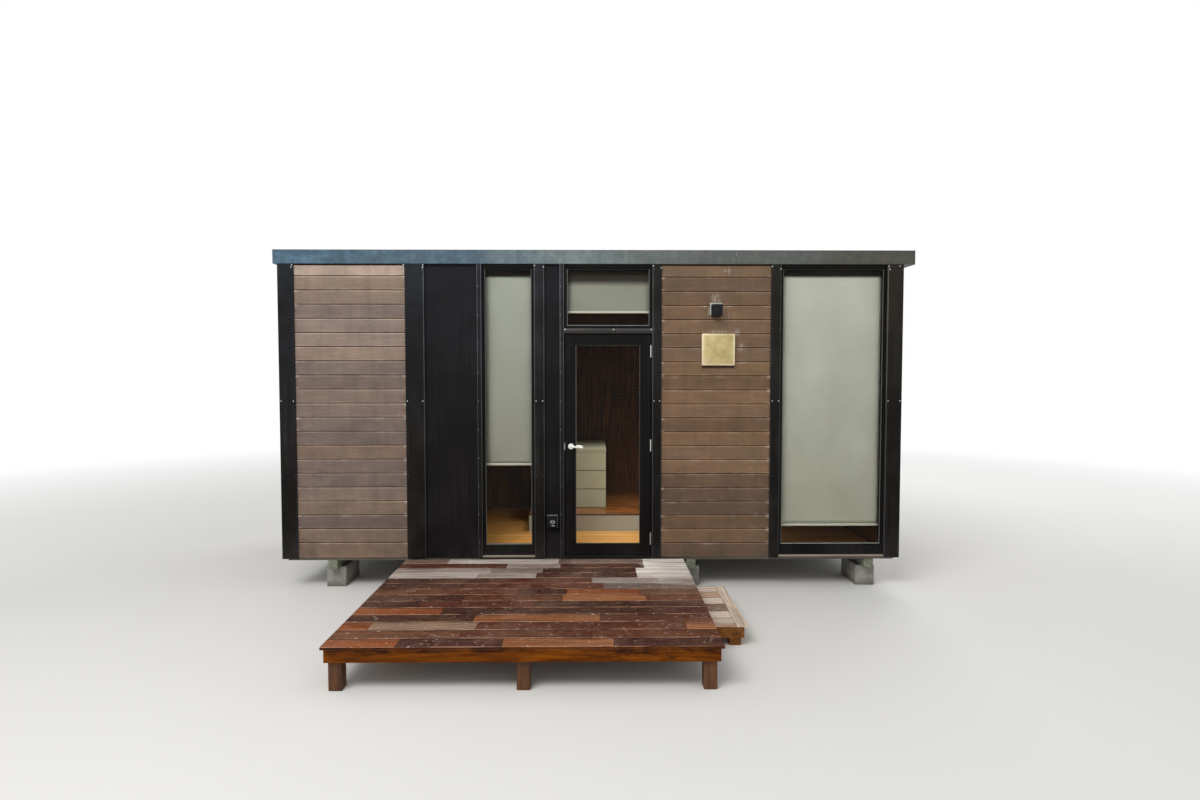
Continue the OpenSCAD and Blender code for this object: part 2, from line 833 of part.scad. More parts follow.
// One hinge plate, on the jamb or on the leaf's edge, set back clear of the turning knuckle
module hinge_plate(x0, z0, z1) {
    y0 = hinge_y + knuckle_r + knuckle_off;
    span([x0, y0, z0], [x0 + plate_t, y0 + plate_d, z1]);
}

// The tongue that joins a knuckle to its plate
module hinge_tongue(x0, z0, z1) {
    span([x0, hinge_y, z0], [x0 + plate_t, hinge_y + knuckle_r + knuckle_off + eps, z1]);
}

module hinge_frame_half() {
    k = hinge_l * knuckle_share;
    x0 = x_leaf_end + leaf_gap - plate_t;
    hinge_plate(x0, 0, hinge_l);
    for (z = [0, hinge_l - k]) {
        translate([hinge_x, hinge_y, z]) cylinder(r = knuckle_r, h = k);
        hinge_tongue(x0, z, z + k);
    }
    translate([hinge_x, hinge_y, 0]) cylinder(r = pin_r, h = hinge_l);
}

module hinge_door_half() {
    k = hinge_l * knuckle_share + knuckle_gap;
    difference() {
        union() {
            hinge_plate(x_leaf_end, 0, hinge_l);
            translate([hinge_x, hinge_y, k]) cylinder(r = knuckle_r, h = hinge_l - 2 * k);
            hinge_tongue(x_leaf_end, k, hinge_l - k);
        }
        translate([hinge_x, hinge_y, 0]) cylinder(r = pin_r + pin_clear, h = hinge_l);
    }
}

module hinge_frame_halves() {
    color([0.75, 0.75, 0.74])
    for (i = [0 : hinge_n - 1]) translate([0, 0, hinge_z(i)]) hinge_frame_half();
}

module hinge_door_halves() {
    color([0.75, 0.75, 0.74])
    for (i = [0 : hinge_n - 1]) translate([0, 0, hinge_z(i)]) hinge_door_half();
}

// Puts a shape whose axis is Z onto the spindle's axis, pointing inwards from y
module on_spindle(y) {
    translate([handle_x, y, base_h + handle_z]) rotate([-90, 0, 0]) children();
}

module handle_roses() {
    color([0.85, 0.85, 0.83])
    for (y = [leaf_y - rose_t, leaf_y + leaf_t])
        on_spindle(y) difference() {
            cylinder(r = rose_r, h = rose_t);
            translate([0, 0, -eps]) cylinder(r = spindle_r + pin_clear, h = rose_t + 2 * eps);
        }
}

// One lever: a bend off the spindle and a tapered grip that dips towards its tip
module lever_grip(y) {
    dip = 12;
    tip_r = 0.6 * lever_r;
    at = [handle_x, y, base_h + handle_z];
    hull() {
        translate(at) sphere(r = lever_r, $fn = 20);
        translate(at + [lever_l * 0.55, 0, -dip * 0.35]) sphere(r = lever_r * 0.8, $fn = 20);
    }
    hull() {
        translate(at + [lever_l * 0.55, 0, -dip * 0.35]) sphere(r = lever_r * 0.8, $fn = 20);
        translate(at + [lever_l - tip_r, 0, -dip]) sphere(r = tip_r, $fn = 20);
    }
}

module door_lever() {
    out_y = leaf_y - lever_off;
    in_y = leaf_y + leaf_t + lever_off;
    color([0.88, 0.88, 0.86]) {
        on_spindle(out_y) cylinder(r = spindle_r, h = in_y - out_y);
        lever_grip(out_y);
        lever_grip(in_y);
    }
}

module strike_plate() {
    tall = 60;
    thick = 1.5;
    color([0.75, 0.75, 0.74])
    span([x_door, clad_recess - thick, base_h + handle_z - tall / 2],
         [x_door + jamb_latch, clad_recess, base_h + handle_z + tall / 2]);
}

// Blinds, one bay each: left edge, right edge and the height of the bottom

blind_y = (frame_back + wall_in) / 2;
BLINDS = [[x_narrow, x_trim_d, base_h + narrow_drop], [x_big, x_big_end, base_h + big_drop],
          [x_door, x_trim_f, base_h + transom_drop]];
blind_side = 20;

module blind_boxes() {
    color([0.12, 0.12, 0.12])
    for (b = BLINDS)
        span([b[0], blind_y - blind_box_d / 2, z_eaves - blind_box_h],
             [b[1], blind_y + blind_box_d / 2, z_eaves]);
}

module blind_cloths() {
    color([0.65, 0.66, 0.60])
    for (b = BLINDS)
        span([b[0] + blind_side, blind_y - cloth_t / 2, b[2] + bar_h],
             [b[1] - blind_side, blind_y + cloth_t / 2, z_eaves - blind_box_h]);
}

module blind_bars() {
    color([0.60, 0.61, 0.56])
    for (b = BLINDS)
        span([b[0] + blind_side, blind_y - bar_t / 2, b[2]],
             [b[1] - blind_side, blind_y + bar_t / 2, b[2] + bar_h]);
}

// Fittings on the front

module wall_light() {
    x0 = x_clad_b + light_x;
    z0 = base_h + light_z;
    plate = 6;
    rim = 12;
    plate_foot = 10;
    plate_head = 21;
    wall = 3;
    color([0.08, 0.08, 0.08])
    difference() {
        union() {
            span([x0, clad_recess - light_d, z0], [x0 + light_w, clad_recess - plate, z0 + light_h]);
            span([x0 - rim, clad_recess - plate, z0 + plate_foot],
                 [x0 + light_w + rim, clad_recess, z0 + light_h + plate_head]);
        }
        span([x0 + wall, clad_recess - light_d + wall, z0 - eps],
             [x0 + light_w - wall, clad_recess - plate - wall, z0 + light_h / 2]);
    }
}

module sign_plate() {
    x0 = x_clad_b + sign_x;
    z0 = base_h + sign_z;
    color([0.72, 0.62, 0.38])
    span([x0, clad_recess - sign_t, z0], [x0 + sign_w, clad_recess, z0 + sign_h]);
}

module power_outlet() {
    x0 = (x_panel_2 + x_trim_e - outlet_w) / 2;
    z0 = base_h + outlet_z;
    lid_t = 14;
    rim = 3;
    color([0.16, 0.17, 0.18]) {
        span([x0 + rim, panel_face - outlet_d + lid_t, z0 + rim],
             [x0 + outlet_w - rim, panel_face, z0 + outlet_h - rim]);
        translate([0, panel_face - outlet_d, 0]) rotate([-90, 0, 0]) linear_extrude(lid_t)
        polygon([[x0, -z0 - rim], [x0 + rim, -z0], [x0 + outlet_w - rim, -z0],
                 [x0 + outlet_w, -z0 - rim], [x0 + outlet_w, -z0 - outlet_h + rim],
                 [x0 + outlet_w - rim, -z0 - outlet_h], [x0 + rim, -z0 - outlet_h],
                 [x0, -z0 - outlet_h + rim]]);
    }
}

// Deck: boards in short lengths along X, on joists between a front rim and a ledger at the pod

// The lengths of one row: from the left end, past each joint, to the right end
shortest = 100;
module deck_row(joints, y0, y1) {
    cuts = [for (j = joints) if (j < deck_w - shortest) j];
    ends = concat([0], cuts, [deck_w]);
    for (i = [0 : len(ends) - 2])
        span([x_deck + ends[i] + (i > 0 ? butt_gap : 0), y0, z_joist],
             [x_deck + ends[i + 1], y1, z_deck]);
}

module deck_boards() {
    color([0.30, 0.16, 0.13])
    for (i = [0 : row_n - 1])
        deck_row(ROW_JOINTS[i % len(ROW_JOINTS)], -deck_d + i * row, -deck_d + (i + 1) * row - deck_gap);
}

module deck_joists() {
    x0 = x_deck + deck_over + deck_fascia_t;
    x1 = x_deck_end - deck_over - deck_fascia_t;
    y0 = -deck_d + deck_fascia_t;
    y1 = shell_in;
    n = ceil((x1 - x0 - joist_t) / joist_pitch) + 1;
    step = (x1 - x0 - joist_t) / (n - 1);
    color([0.45, 0.36, 0.25])
    union() {
        span([x0, y0, z_joist - joist_h], [x1, y0 + joist_t, z_joist]);
        span([x0, y1 - joist_t, z_joist - joist_h], [x1, y1, z_joist]);
        for (i = [0 : n - 1])
            span([x0 + i * step, y0, z_joist - joist_h], [x0 + i * step + joist_t, y1, z_joist]);
    }
}

module deck_fascia() {
    x0 = x_deck + deck_over;
    x1 = x_deck_end - deck_over;
    y0 = -deck_d;
    z0 = z_joist - deck_fascia_h;
    clear = 0.3;
    color([0.51, 0.29, 0.08]) {
        span([x0, y0, z0], [x1, y0 + deck_fascia_t, z_joist]);
        for (x = [x0, x1 - deck_fascia_t])
            span([x, y0 + deck_fascia_t + clear, z0], [x + deck_fascia_t, -deck_wall_gap, z_joist]);
    }
}

module deck_posts() {
    x0 = x_deck + deck_over + deck_fascia_t;
    x2 = x_deck_end - deck_over - deck_fascia_t - post_w;
    y0 = -deck_d + deck_fascia_t;
    y1 = -deck_wall_gap - post_w;
    color([0.36, 0.25, 0.15])
    for (x = [x0, (x0 + x2) / 2, x2], y = [y0, y1])
        span([x, y, 0], [x + post_w, y + post_w, z_joist - joist_h]);
}

// Step at the deck's right side, hung on a board against the deck's side fascia

x_step_end = x_step + step_w;
x_step_edge = x_step_end - step_edge_w;

module step_boards() {
    x0 = x_step + deck_fascia_t + butt_gap;
    n = round((step_l + deck_gap) / deck_pitch);
    pitch = (step_l + deck_gap) / n;
    color([0.60, 0.50, 0.42]) {
        for (i = [0 : n - 1])
            span([x0, y_step + i * pitch, z_step - deck_board_t],
                 [x_step_edge - deck_gap, y_step + (i + 1) * pitch - deck_gap, z_step]);
        span([x_step_edge, y_step, z_step - deck_board_t], [x_step_end, y_step + step_l, z_step]);
    }
}

// A board of the step's frame that runs along Y, as high as the frame unless it is raised
module step_rail(x0, t, raised = 0) {
    span([x0, y_step, z_step_frame], [x0 + t, y_step + step_l, z_step - deck_board_t + raised]);
}

module step_frame() {
    t = deck_fascia_t;
    x1 = x_step_end - deck_over;
    z0 = z_step_frame;
    color([0.48, 0.30, 0.12]) {
        step_rail(x_step, t, hanger_rise);
        step_rail(x_step + t, joist_t);
        step_rail(x_step_edge - joist_t / 2, joist_t);
        step_rail(x1 - t, t);
        for (y = [y_step, y_step + step_l - t])
            span([x_step, y, z0], [x1, y + t, z_step - deck_board_t]);
        for (x = [x_step + t, x1 - t - post_w], y = [y_step + t, y_step + step_l - t - post_w])
            span([x, y, 0], [x + post_w, y + post_w, z0 + eps]);
    }
}

// Indoors, as seen through the door's glass

module inner_platform() {
    x0 = x_door + drawer_x - drawer_w - platform_left;
    top = base_h + platform_z;
    nose = 12;
    color([0.68, 0.67, 0.61]) {
        span([x0, platform_y + nose, z_room], [x0 + platform_w, pod_d - wall_in, top - platform_top_t]);
        span([x0, platform_y, top - platform_top_t], [x0 + platform_w, pod_d - wall_in, top]);
    }
}

module drawer_unit() {
    x1 = x_door + drawer_x;
    x0 = x1 - drawer_w;
    z0 = base_h + platform_z;
    z1 = z0 + drawer_n * drawer_pitch;
    y1 = pod_d - wall_in;
    color([0.59, 0.57, 0.47]) {
        span([x0, drawer_y + drawer_front_t, z0], [x1, y1, z1]);
        span([x0, drawer_y, z1], [x1, y1, z1 + worktop_t]);
        for (i = [0 : drawer_n - 1])
            span([x0 + drawer_gap, drawer_y, z0 + i * drawer_pitch + drawer_gap],
                 [x1 - drawer_gap, drawer_y + drawer_front_t, z0 + (i + 1) * drawer_pitch - drawer_gap]);
    }
}

placed() pier_blocks();
placed() ground_bearers();
placed() floor_panel();
placed() floor_boards();
placed() front_wall_left();
placed() front_wall_middle();
placed() front_wall_right();
placed() back_wall();
placed() left_wall();
placed() right_wall();
placed() roof_panel();
placed() roof_sheet();
placed() roof_fascia();
placed() front_cladding_left();
placed() front_cladding_right();
placed() side_cladding();
placed() back_cladding();
placed() flat_panels();
placed() wall_trims();
placed() corner_trims();
placed() narrow_window_frame();
placed() big_window_frame();
placed() window_glass();
placed() door_frame();
placed() door_leaf();
placed() door_glass();
placed() hinge_frame_halves();
placed() hinge_door_halves();
placed() handle_roses();
placed() door_lever();
placed() strike_plate();
placed() blind_boxes();
placed() blind_cloths();
placed() blind_bars();
placed() wall_light();
placed() sign_plate();
placed() power_outlet();
placed() deck_boards();
placed() deck_joists();
placed() deck_fascia();
placed() deck_posts();
placed() step_boards();
placed() step_frame();
placed() inner_platform();
placed() drawer_unit();
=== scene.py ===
# %% [markdown]
# # A garden office pod, dressed over its frame
# The frame holds the pod's construction in metres: walls, trims, windows, the hinged door and
# the deck. This script gives each part the surface that the real one has, and adds the small
# things that a frame leaves out, such as screws, glazing beads, the round arrises of the deck
# boards and the ripple of the blinds. Nothing in the frame is moved.

# %% Load the frame and keep its box
import math
import random

import bmesh
import bpy
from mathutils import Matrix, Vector
from mathutils.bvhtree import BVHTree


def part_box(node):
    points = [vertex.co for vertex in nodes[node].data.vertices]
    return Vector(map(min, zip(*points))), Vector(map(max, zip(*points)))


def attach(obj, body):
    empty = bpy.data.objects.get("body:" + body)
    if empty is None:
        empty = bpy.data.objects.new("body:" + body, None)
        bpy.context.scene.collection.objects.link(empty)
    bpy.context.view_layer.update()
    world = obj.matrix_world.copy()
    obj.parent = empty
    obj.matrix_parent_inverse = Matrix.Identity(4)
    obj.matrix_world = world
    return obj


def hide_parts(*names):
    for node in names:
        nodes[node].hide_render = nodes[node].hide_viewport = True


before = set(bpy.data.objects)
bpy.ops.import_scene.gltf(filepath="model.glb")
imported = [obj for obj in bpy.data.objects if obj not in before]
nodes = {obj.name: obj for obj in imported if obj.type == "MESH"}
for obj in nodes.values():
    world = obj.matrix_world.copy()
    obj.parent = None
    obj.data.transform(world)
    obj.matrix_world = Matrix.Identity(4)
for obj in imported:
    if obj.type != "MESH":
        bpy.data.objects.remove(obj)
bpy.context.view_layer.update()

# %% [markdown]
# ## Sizes
# A builder sets out a pod from its front: X from the middle of the front, Y from the trims'
# face towards the back, Z from the ground, all in millimetres. The script keeps those numbers
# as they would stand on a drawing, and one small function turns them into the frame's metres.

# %% Setting out
X_MIDDLE, Y_MIDDLE = 33.0, 154.5


def at(x, y, z):
    """A point in millimetres on the drawing, in metres in the frame."""
    return Vector(((x - X_MIDDLE) / 1000, (y - Y_MIDDLE) / 1000, z / 1000))


# Left and right edge of each front trim, and of each bay between two trims
TRIMS = {"b": (-1792, -1609), "c": (-1104, -1061), "d": (-555, -458),
         "e": (-310, -269), "f": (583, 670), "g": (1726, 1820)}
CORNER_W = 150
X_LEFT, X_RIGHT, Y_BACK = -3000, 3000, 2400
NARROW_BAY, BIG_BAY, DOOR_BAY = (-1061, -555), (1820, 2850), (-269, 583)
CLAD_FACE, PANEL_FACE = 22, 32
CLAD_FOOT, CLAD_HEAD, COURSE = 318, 3141, 135.7
LIP_LEFT, LIP = 15, 6
Z_DECK, Z_STEP, BOARD_THICK = 305, 170, 21
DECK_LEFT, DECK_FRONT, DECK_LONG = -1799, -2141, 2687
print("front bays:", len(TRIMS) + 1, "deck:", DECK_LONG, "mm long")

# %% [markdown]
# ## Building a finish from nodes
# Every surface here is worked out from where it is on the pod, so it needs no picture. A
# finish starts as one Principled shader. Stretching the coordinates draws noise out into
# grain, a ramp turns it into colour, and the same noise moves the gloss and the bump, so
# that a dark streak is also a rougher and deeper one. One class knows how to add and feed
# nodes, and finishes, the sky and the tools further down are all made with it.

# %% The node helper
class Nodes:
    """A node tree in the making."""

    def __init__(self, tree):
        self.tree = tree

    def feed(self, socket, value):
        """Gives an input a fixed value, or joins it to another node."""
        if isinstance(value, bpy.types.Node):
            value = value.outputs[0]
        if isinstance(value, bpy.types.NodeSocket):
            self.tree.links.new(value, socket)
        else:
            socket.default_value = value

    def add(self, kind, *values, **named):
        """Adds a node. Values go to its inputs in their order. A name in small letters is a
        setting of the node, and a name with a capital is one of its inputs."""
        node = self.tree.nodes.new(kind)
        for key in filter(str.islower, named):
            setattr(node, key, named[key])
        for socket, value in zip(node.inputs, values):
            self.feed(socket, value)
        for key in named:
            if not key.islower():
                self.feed(node.inputs[key.replace("_", " ")], named[key])
        return node

    def work(self, kind, a, b=0.0):
        """One step of arithmetic."""
        return self.add("ShaderNodeMath", a, b, operation=kind).outputs[0]

    def plus(self, a, b):
        return self.work("ADD", a, b)

    def times(self, a, b):
        return self.work("MULTIPLY", a, b)

    def most(self, a, b):
        return self.work("MAXIMUM", a, b)

    def show(self, output, share, one, other):
        """Sends one shader to the output where share is 0, and the other where it is 1."""
        either = self.add("ShaderNodeMixShader", share, one, other)
        self.feed(output.inputs["Surface"], either)


# %% The finish helper
def paint(red, green, blue):
    """A colour as it is read off a screen, 0 to 255, in the shader's linear numbers."""
    lin = [c / 255 / 12.92 if c <= 10 else ((c / 255 + 0.055) / 1.055) ** 2.4
           for c in (red, green, blue)]
    return (*lin, 1.0)


class Finish(Nodes):
    """A material in the making. Most calls return an output to use in the next one."""

    def __init__(self, name, **sockets):
        self.material = bpy.data.materials.new(name)
        self.material.use_nodes = True
        super().__init__(self.material.node_tree)
        self.shader = self.tree.nodes["Principled BSDF"]
        self.here = self.add("ShaderNodeTexCoord").outputs["Object"]
        self.give(**sockets)

    def give(self, **sockets):
        """Sets sockets of the shader, and returns the material."""
        for socket, value in sockets.items():
            self.feed(self.shader.inputs[socket.replace("_", " ")], value)
        return self.material

    def close(self, colour, rough, height, depth):
        """Gives the shader its colour, roughness and bump, and returns the material."""
        bump = self.add("ShaderNodeBump", Height=height, Distance=depth)
        return self.give(Base_Color=colour, Roughness=rough, Normal=bump)

    def shove(self, by, amount, where):
        """Moves a point by a value or a vector times an amount."""
        return self.add("ShaderNodeVectorMath", by, amount, where, operation="MULTIPLY_ADD")

    def stretch(self, x, y, z, shift=None):
        """Where the point is, with each axis scaled. A large number packs the pattern."""
        where = self.add("ShaderNodeMapping", self.here, Scale=(x, y, z))
        return where if shift is None else self.shove(shift, (17.0, 11.0, 23.0), where)

    def noise(self, where, scale, detail=4.0, rough=0.55, twist=0.0, out=0):
        return self.add("ShaderNodeTexNoise", where, Scale=scale, Detail=detail,
                        Roughness=rough, Distortion=twist).outputs[out]

    def specks(self, where, scale):
        """The distance to the nearest of many scattered points."""
        return self.add("ShaderNodeTexVoronoi", where, Scale=scale).outputs["Distance"]

    def ragged(self, where, scale, amount):
        """The point pushed about a little, so that what is drawn there has ragged edges."""
        jolt = self.noise(where, scale, 2.0, 0.5, out="Color")
        return self.shove(jolt, (amount, amount, amount), where)

    def chance(self, number):
        """A fixed random value from 0 to 1 for each whole number."""
        return self.add("ShaderNodeTexWhiteNoise", W=number, noise_dimensions="1D").outputs["Value"]

    def axis(self, letter):
        return self.add("ShaderNodeSeparateXYZ", self.here).outputs[letter]

    def off(self, letter, place):
        """How far the point is from a place on one axis, in metres."""
        return self.work("ABSOLUTE", self.work("SUBTRACT", self.axis(letter), place))

    def band(self, value, low, high, to_low=0.0, to_high=1.0):
        """Stretches low..high to to_low..to_high, and stops at both ends. The value may be the
        letter of an axis."""
        value = self.axis(value) if isinstance(value, str) else value
        return self.add("ShaderNodeMapRange", value, low, high, to_low, to_high).outputs[0]

    def ramp(self, value, *stops):
        node = self.add("ShaderNodeValToRGB", value)
        marks = node.color_ramp.elements
        while len(marks) < len(stops):
            marks.new(0.5)
        for mark, (place, colour) in zip(marks, stops):
            mark.position = place
            mark.color = colour
        return node.outputs[0]

    def mix(self, share, under, over, kind="MIX"):
        node = self.add("ShaderNodeMix", share, data_type="RGBA", blend_type=kind)
        self.feed(node.inputs[6], under)
        self.feed(node.inputs[7], over)
        return node.outputs[2]

    def tint(self, colour, by):
        """One colour times another."""
        return self.mix(1.0, colour, by, "MULTIPLY")

    def vary(self, colour, value, dark, light):
        """A colour times dark where the value is 0, and times light where it is 1."""
        return self.tint(colour, self.mix(value, (*dark, 1), (*light, 1)))

    def own(self, name, socket="Fac"):
        """A value that the piece's own mesh carries."""
        return self.add("ShaderNodeAttribute", attribute_name=name).outputs[socket]


print("a finish is built from nodes, on object coordinates")

# %% [markdown]
# ## Timber
# Timber is pores drawn out along the board, over broader growth rings, over a tone that
# changes from board to board. A picture texture would repeat. Noise on stretched coordinates
# doesn't, and it takes the direction of each board from one letter. Boards that are laid
# one by one carry their own tone and a number that moves the grain, so no two are alike.

# %% Grain along one axis
LENGTHWAYS = {"X": (0.9, 15, 15), "Y": (15, 0.9, 15), "Z": (15, 15, 0.9)}


def grain(finish, along, shift=None):
    """Broad rings and fine pores of a board that runs along X, Y or Z."""
    where = finish.stretch(*LENGTHWAYS[along], shift=shift)
    rings = finish.noise(where, 2.2, 5.0, 0.6, 0.8)
    pores = finish.noise(where, 11.0, 3.0, 0.65)
    return rings, pores


def ringed(finish, rings, tones):
    """Wood in a dark, a middle and a light tone, one ring after another."""
    return finish.ramp(rings, *zip((0.30, 0.5, 0.72), (paint(*tone) for tone in tones)))


def timber(name, along, *tones, rough=(0.5, 0.75), spec=0.35):
    """A board or post with its grain along one axis."""
    finish = Finish(name, Specular_IOR_Level=spec)
    rings, pores = grain(finish, along)
    wood = ringed(finish, rings, tones)
    fine = finish.band(pores, 0.35, 0.65, 0.72, 1.12)
    wood = finish.tint(wood, finish.ramp(fine, (0.0, (0, 0, 0, 1)), (1.0, (1, 1, 1, 1))))
    weather = finish.noise(finish.here, 3.0, 5.0)
    wood = finish.mix(finish.band(weather, 0.45, 0.75, 0.0, 0.45), wood, paint(*tones[0]))
    return finish.close(wood, finish.band(rings, 0.3, 0.7, *rough), finish.plus(rings, pores),
                        0.0008)


bearer_pine = timber("bearer_pine", "Y", (96, 100, 84), (128, 130, 110), (160, 158, 138))
joist_pine = timber("joist_pine", "Y", (92, 72, 46), (128, 104, 72), (158, 134, 98))
post_pine = timber("post_pine", "Z", (58, 34, 18), (92, 56, 30), (124, 82, 48))
step_amber = timber("step_amber", "Y", (74, 40, 14), (122, 72, 26), (154, 100, 46),
                    rough=(0.42, 0.62), spec=0.2)


def stained_fascia(name, top_edge, *tones):
    """The deck's oiled edge boards, black with tannin in patches, and darker towards their top edge,
    partly tannin and partly a painted shadow under the deck boards' edge.
    """
    finish = Finish(name, Specular_IOR_Level=0.08)
    rings, pores = grain(finish, "X")
    wood = ringed(finish, rings, tones)
    wood = finish.vary(wood, finish.band(pores, 0.35, 0.65), (0.74, 0.72, 0.70), (1.14, 1.12, 1.10))
    blots = finish.noise(finish.stretch(2.6, 2.6, 9.0), 1.6, 6.0, 0.65)
    # Towards the top edge the tannin grows, and that darkening is also a painted shadow under the deck
    # boards' edge.
    near_top = finish.band("Z", top_edge - 0.055, top_edge - 0.004, 0.0, 0.16)
    tannin_and_shadow = finish.band(finish.plus(blots, near_top), 0.60, 0.74, 0.0, 0.85)
    wood = finish.mix(tannin_and_shadow, wood, paint(34, 14, 6))
    darkened = finish.band("Z", top_edge - 0.07, top_edge - 0.085, 0.0, 0.35)
    wood = finish.mix(darkened, wood, paint(*tones[0]))
    return finish.close(wood, finish.band(rings, 0.3, 0.7, 0.45, 0.65), finish.plus(rings, pores),
                        0.0008)


FASCIA_TOP = (Z_DECK - BOARD_THICK) / 1000
fascia_amber = stained_fascia("fascia_amber", FASCIA_TOP, (70, 30, 2), (108, 54, 2), (140, 77, 9))
# The front ends of the first row of deck boards: the same stain, darker, a painted shadow under their
# arris.
board_end_stain = stained_fascia("board_end_stain", FASCIA_TOP + 0.04, (58, 26, 8), (88, 44, 8),
                                 (116, 62, 14))
print("timbers for bearers, joists, posts, step and fascia boards")

# %% [markdown]
# ## The shiplap cladding
# The two brown panels are shiplap boards: each covers 136 mm, with a shadow groove above it
# and a small chamfer on its top edge. The frame has that shape already, so the finish only
# has to know which board a point is on. Height over the cover, cut to a whole number, gives
# the board, and chance gives it a tone. What is left over says where on the board it is, and
# there the chamfer and the board's foot are painted paler, a painted highlight where the edges
# catch the light, and the groove is painted darker, a painted shadow, deeper on some boards.

# %% Cladding finish
def mark(finish, x, z, wide, tall):
    """1 in an upright patch round a point of the front. wide and tall say how far from the
    point it has ended and how far it is full, in millimetres."""
    spot = at(x, 0, z)
    across, upright = (finish.band(finish.off(letter, place), end / 1000, full / 1000)
                       for letter, place, (end, full) in (("X", spot.x, wide), ("Z", spot.z, tall)))
    return finish.times(across, upright)


def cladding(name, along, tones, seeds, lip=LIP, ends=None, paler_from=None, drips=(), darkened=(),
             spread=1.0):
    """Shiplap boards in their tones at the foot, in the middle and at the top.
    seeds draw how light and how warm each board is, and spread says how far boards differ. The
    front's seeds were picked for a pattern of light and dark boards like the real one. Boards
    above the given height are paler, and the panel's ends have pale corners. drips are pale
    water marks, and the dark marks after them are painted shadows under the sign and the light:
    their middle, half their width and height in millimetres, and their strength."""
    finish = Finish(name, Specular_IOR_Level=0.25)
    low, middle, top = (paint(*tone) for tone in tones)
    above_foot = finish.work("SUBTRACT", finish.axis("Z"), (CLAD_FOOT + lip) / 1000)
    level = finish.most(finish.work("DIVIDE", above_foot, COURSE / 1000), 0.1)
    course, up_board = finish.work("FLOOR", level), finish.work("FRACT", level)
    board = finish.plus(course, seeds[0])
    tone = finish.chance(board)
    warmth = finish.chance(finish.times(finish.plus(course, seeds[1]), 3.7))
    rings, pores = grain(finish, along, shift=tone)
    near_top = [a + (b - a) * 0.35 for a, b in zip(middle, top)]
    wood = finish.ramp(finish.band("Z", 0.5, 3.14), (0.0, low), (0.5, middle), (0.86, near_top),
                       (1.0, top))
    wood = finish.vary(wood, tone, [1 - spread * share for share in (0.20, 0.21, 0.20)],
                       [1 + spread * share for share in (0.17, 0.17, 0.15)])
    wood = finish.vary(wood, warmth, (0.95, 0.98, 1.06), (1.05, 1.0, 0.92))
    # Above the given height the boards are paler, unevenly.
    if paler_from:
        uneven = finish.band(finish.noise(finish.stretch(5, 5, 20), 1.0, 4.0), 0.3, 0.7, 0.35, 0.75)
        paler_band = finish.times(finish.band("Z", paler_from - 0.006, paler_from + 0.002), uneven)
        wood = finish.mix(paler_band, wood, paint(182, 160, 146))
    patch = finish.noise(finish.stretch(1.4, 1.4, 4.0, shift=tone), 2.0, 5.0, 0.6)
    washed = finish.noise(finish.stretch(9, 9, 1.8), 1.0, 5.0, 0.65)
    for value, least, dark, light in ((patch, 0.3, (0.86, 0.85, 0.87), (1.12, 1.12, 1.10)),
                                      (washed, 0.34, (0.88, 0.91, 0.89), (1.11, 1.08, 1.09)),
                                      (pores, 0.3, (0.86, 0.85, 0.84), (1.12, 1.12, 1.12)),
                                      (rings, 0.3, (0.92, 0.91, 0.91), (1.06, 1.06, 1.05))):
        wood = finish.vary(wood, finish.band(value, least, 1 - least), dark, light)
    salts = finish.noise(finish.stretch(3.0, 3.0, 9.0), 2.0, 6.0, 0.65)
    near_edge = finish.most(finish.band(up_board, 0.70, 0.90), finish.band(up_board, 0.16, 0.0))
    bloom = finish.times(near_edge, finish.band(salts, 0.50, 0.75, 0.0, 0.30))
    if ends:
        left, right = (at(x, 0, 0).x for x in ends)
        half = (right - left) / 2
        off_middle = finish.work("SUBTRACT", finish.axis("X"), (left + right) / 2)
        by_groove = finish.most(finish.band(up_board, 0.72, 0.92), finish.band(up_board, 0.14, 0.0))
        luck = finish.chance(finish.plus(finish.times(board, 2.3), finish.work("SIGN", off_middle)))
        out = finish.band(finish.work("ABSOLUTE", off_middle), half - 0.040, half - 0.006)
        rim = finish.times(finish.times(out, by_groove), finish.band(luck, 0.35, 0.95, 0.05, 0.85))
        bloom = finish.most(bloom, rim)
    runs = finish.noise(finish.stretch(60, 60, 14), 1.0, 4.0, 0.65)
    for x, z, wide, tall, strength in drips:
        drip = mark(finish, x, z, (wide, 0.3 * wide), (tall, 0.4 * tall))
        drip = finish.times(drip, finish.band(runs, 0.42, 0.60, 0.1 * strength, strength))
        bloom = finish.most(bloom, drip)
    wood = finish.mix(bloom, wood, paint(178, 168, 156))
    # Painted shadows: dark patches on the boards under the sign and under the wall light.
    for x, z, wide, tall, strength in darkened:
        dark_patch = mark(finish, x, z, (wide + 4, wide - 4), (tall + 4, tall - 5))
        wood = finish.mix(finish.times(dark_patch, strength), wood, paint(44, 26, 16))
    splash = finish.noise(finish.here, 5.0, 5.0)
    foot = finish.times(finish.band("Z", 0.75, 0.32), finish.band(splash, 0.4, 0.7))
    wood = finish.mix(finish.times(foot, 0.5), wood, paint(84, 70, 56))
    # Painted highlight: the chamfer and the board's foot are painted paler, unevenly, where their edges
    # catch the light.
    chamfer_highlight = finish.times(finish.band(up_board, 0.870, 0.900), finish.band(up_board, 0.945, 0.938))
    foot_highlight = finish.times(finish.band(up_board, 0.014, 0.024), finish.band(up_board, 0.090, 0.060))
    uneven_highlight = finish.band(finish.noise(finish.stretch(2.0, 2.0, 7.0, shift=tone), 1.5, 4.0), 0.3, 0.7)
    highlight_tint = finish.tint(wood, (2.0, 1.95, 1.88, 1))
    wood = finish.mix(finish.times(chamfer_highlight, finish.band(uneven_highlight, 0.0, 1.0, 0.4, 1.0)), wood, highlight_tint)
    wood = finish.mix(finish.times(foot_highlight, finish.band(uneven_highlight, 0.4, 1.0, 0.0, 0.6)), wood, highlight_tint)
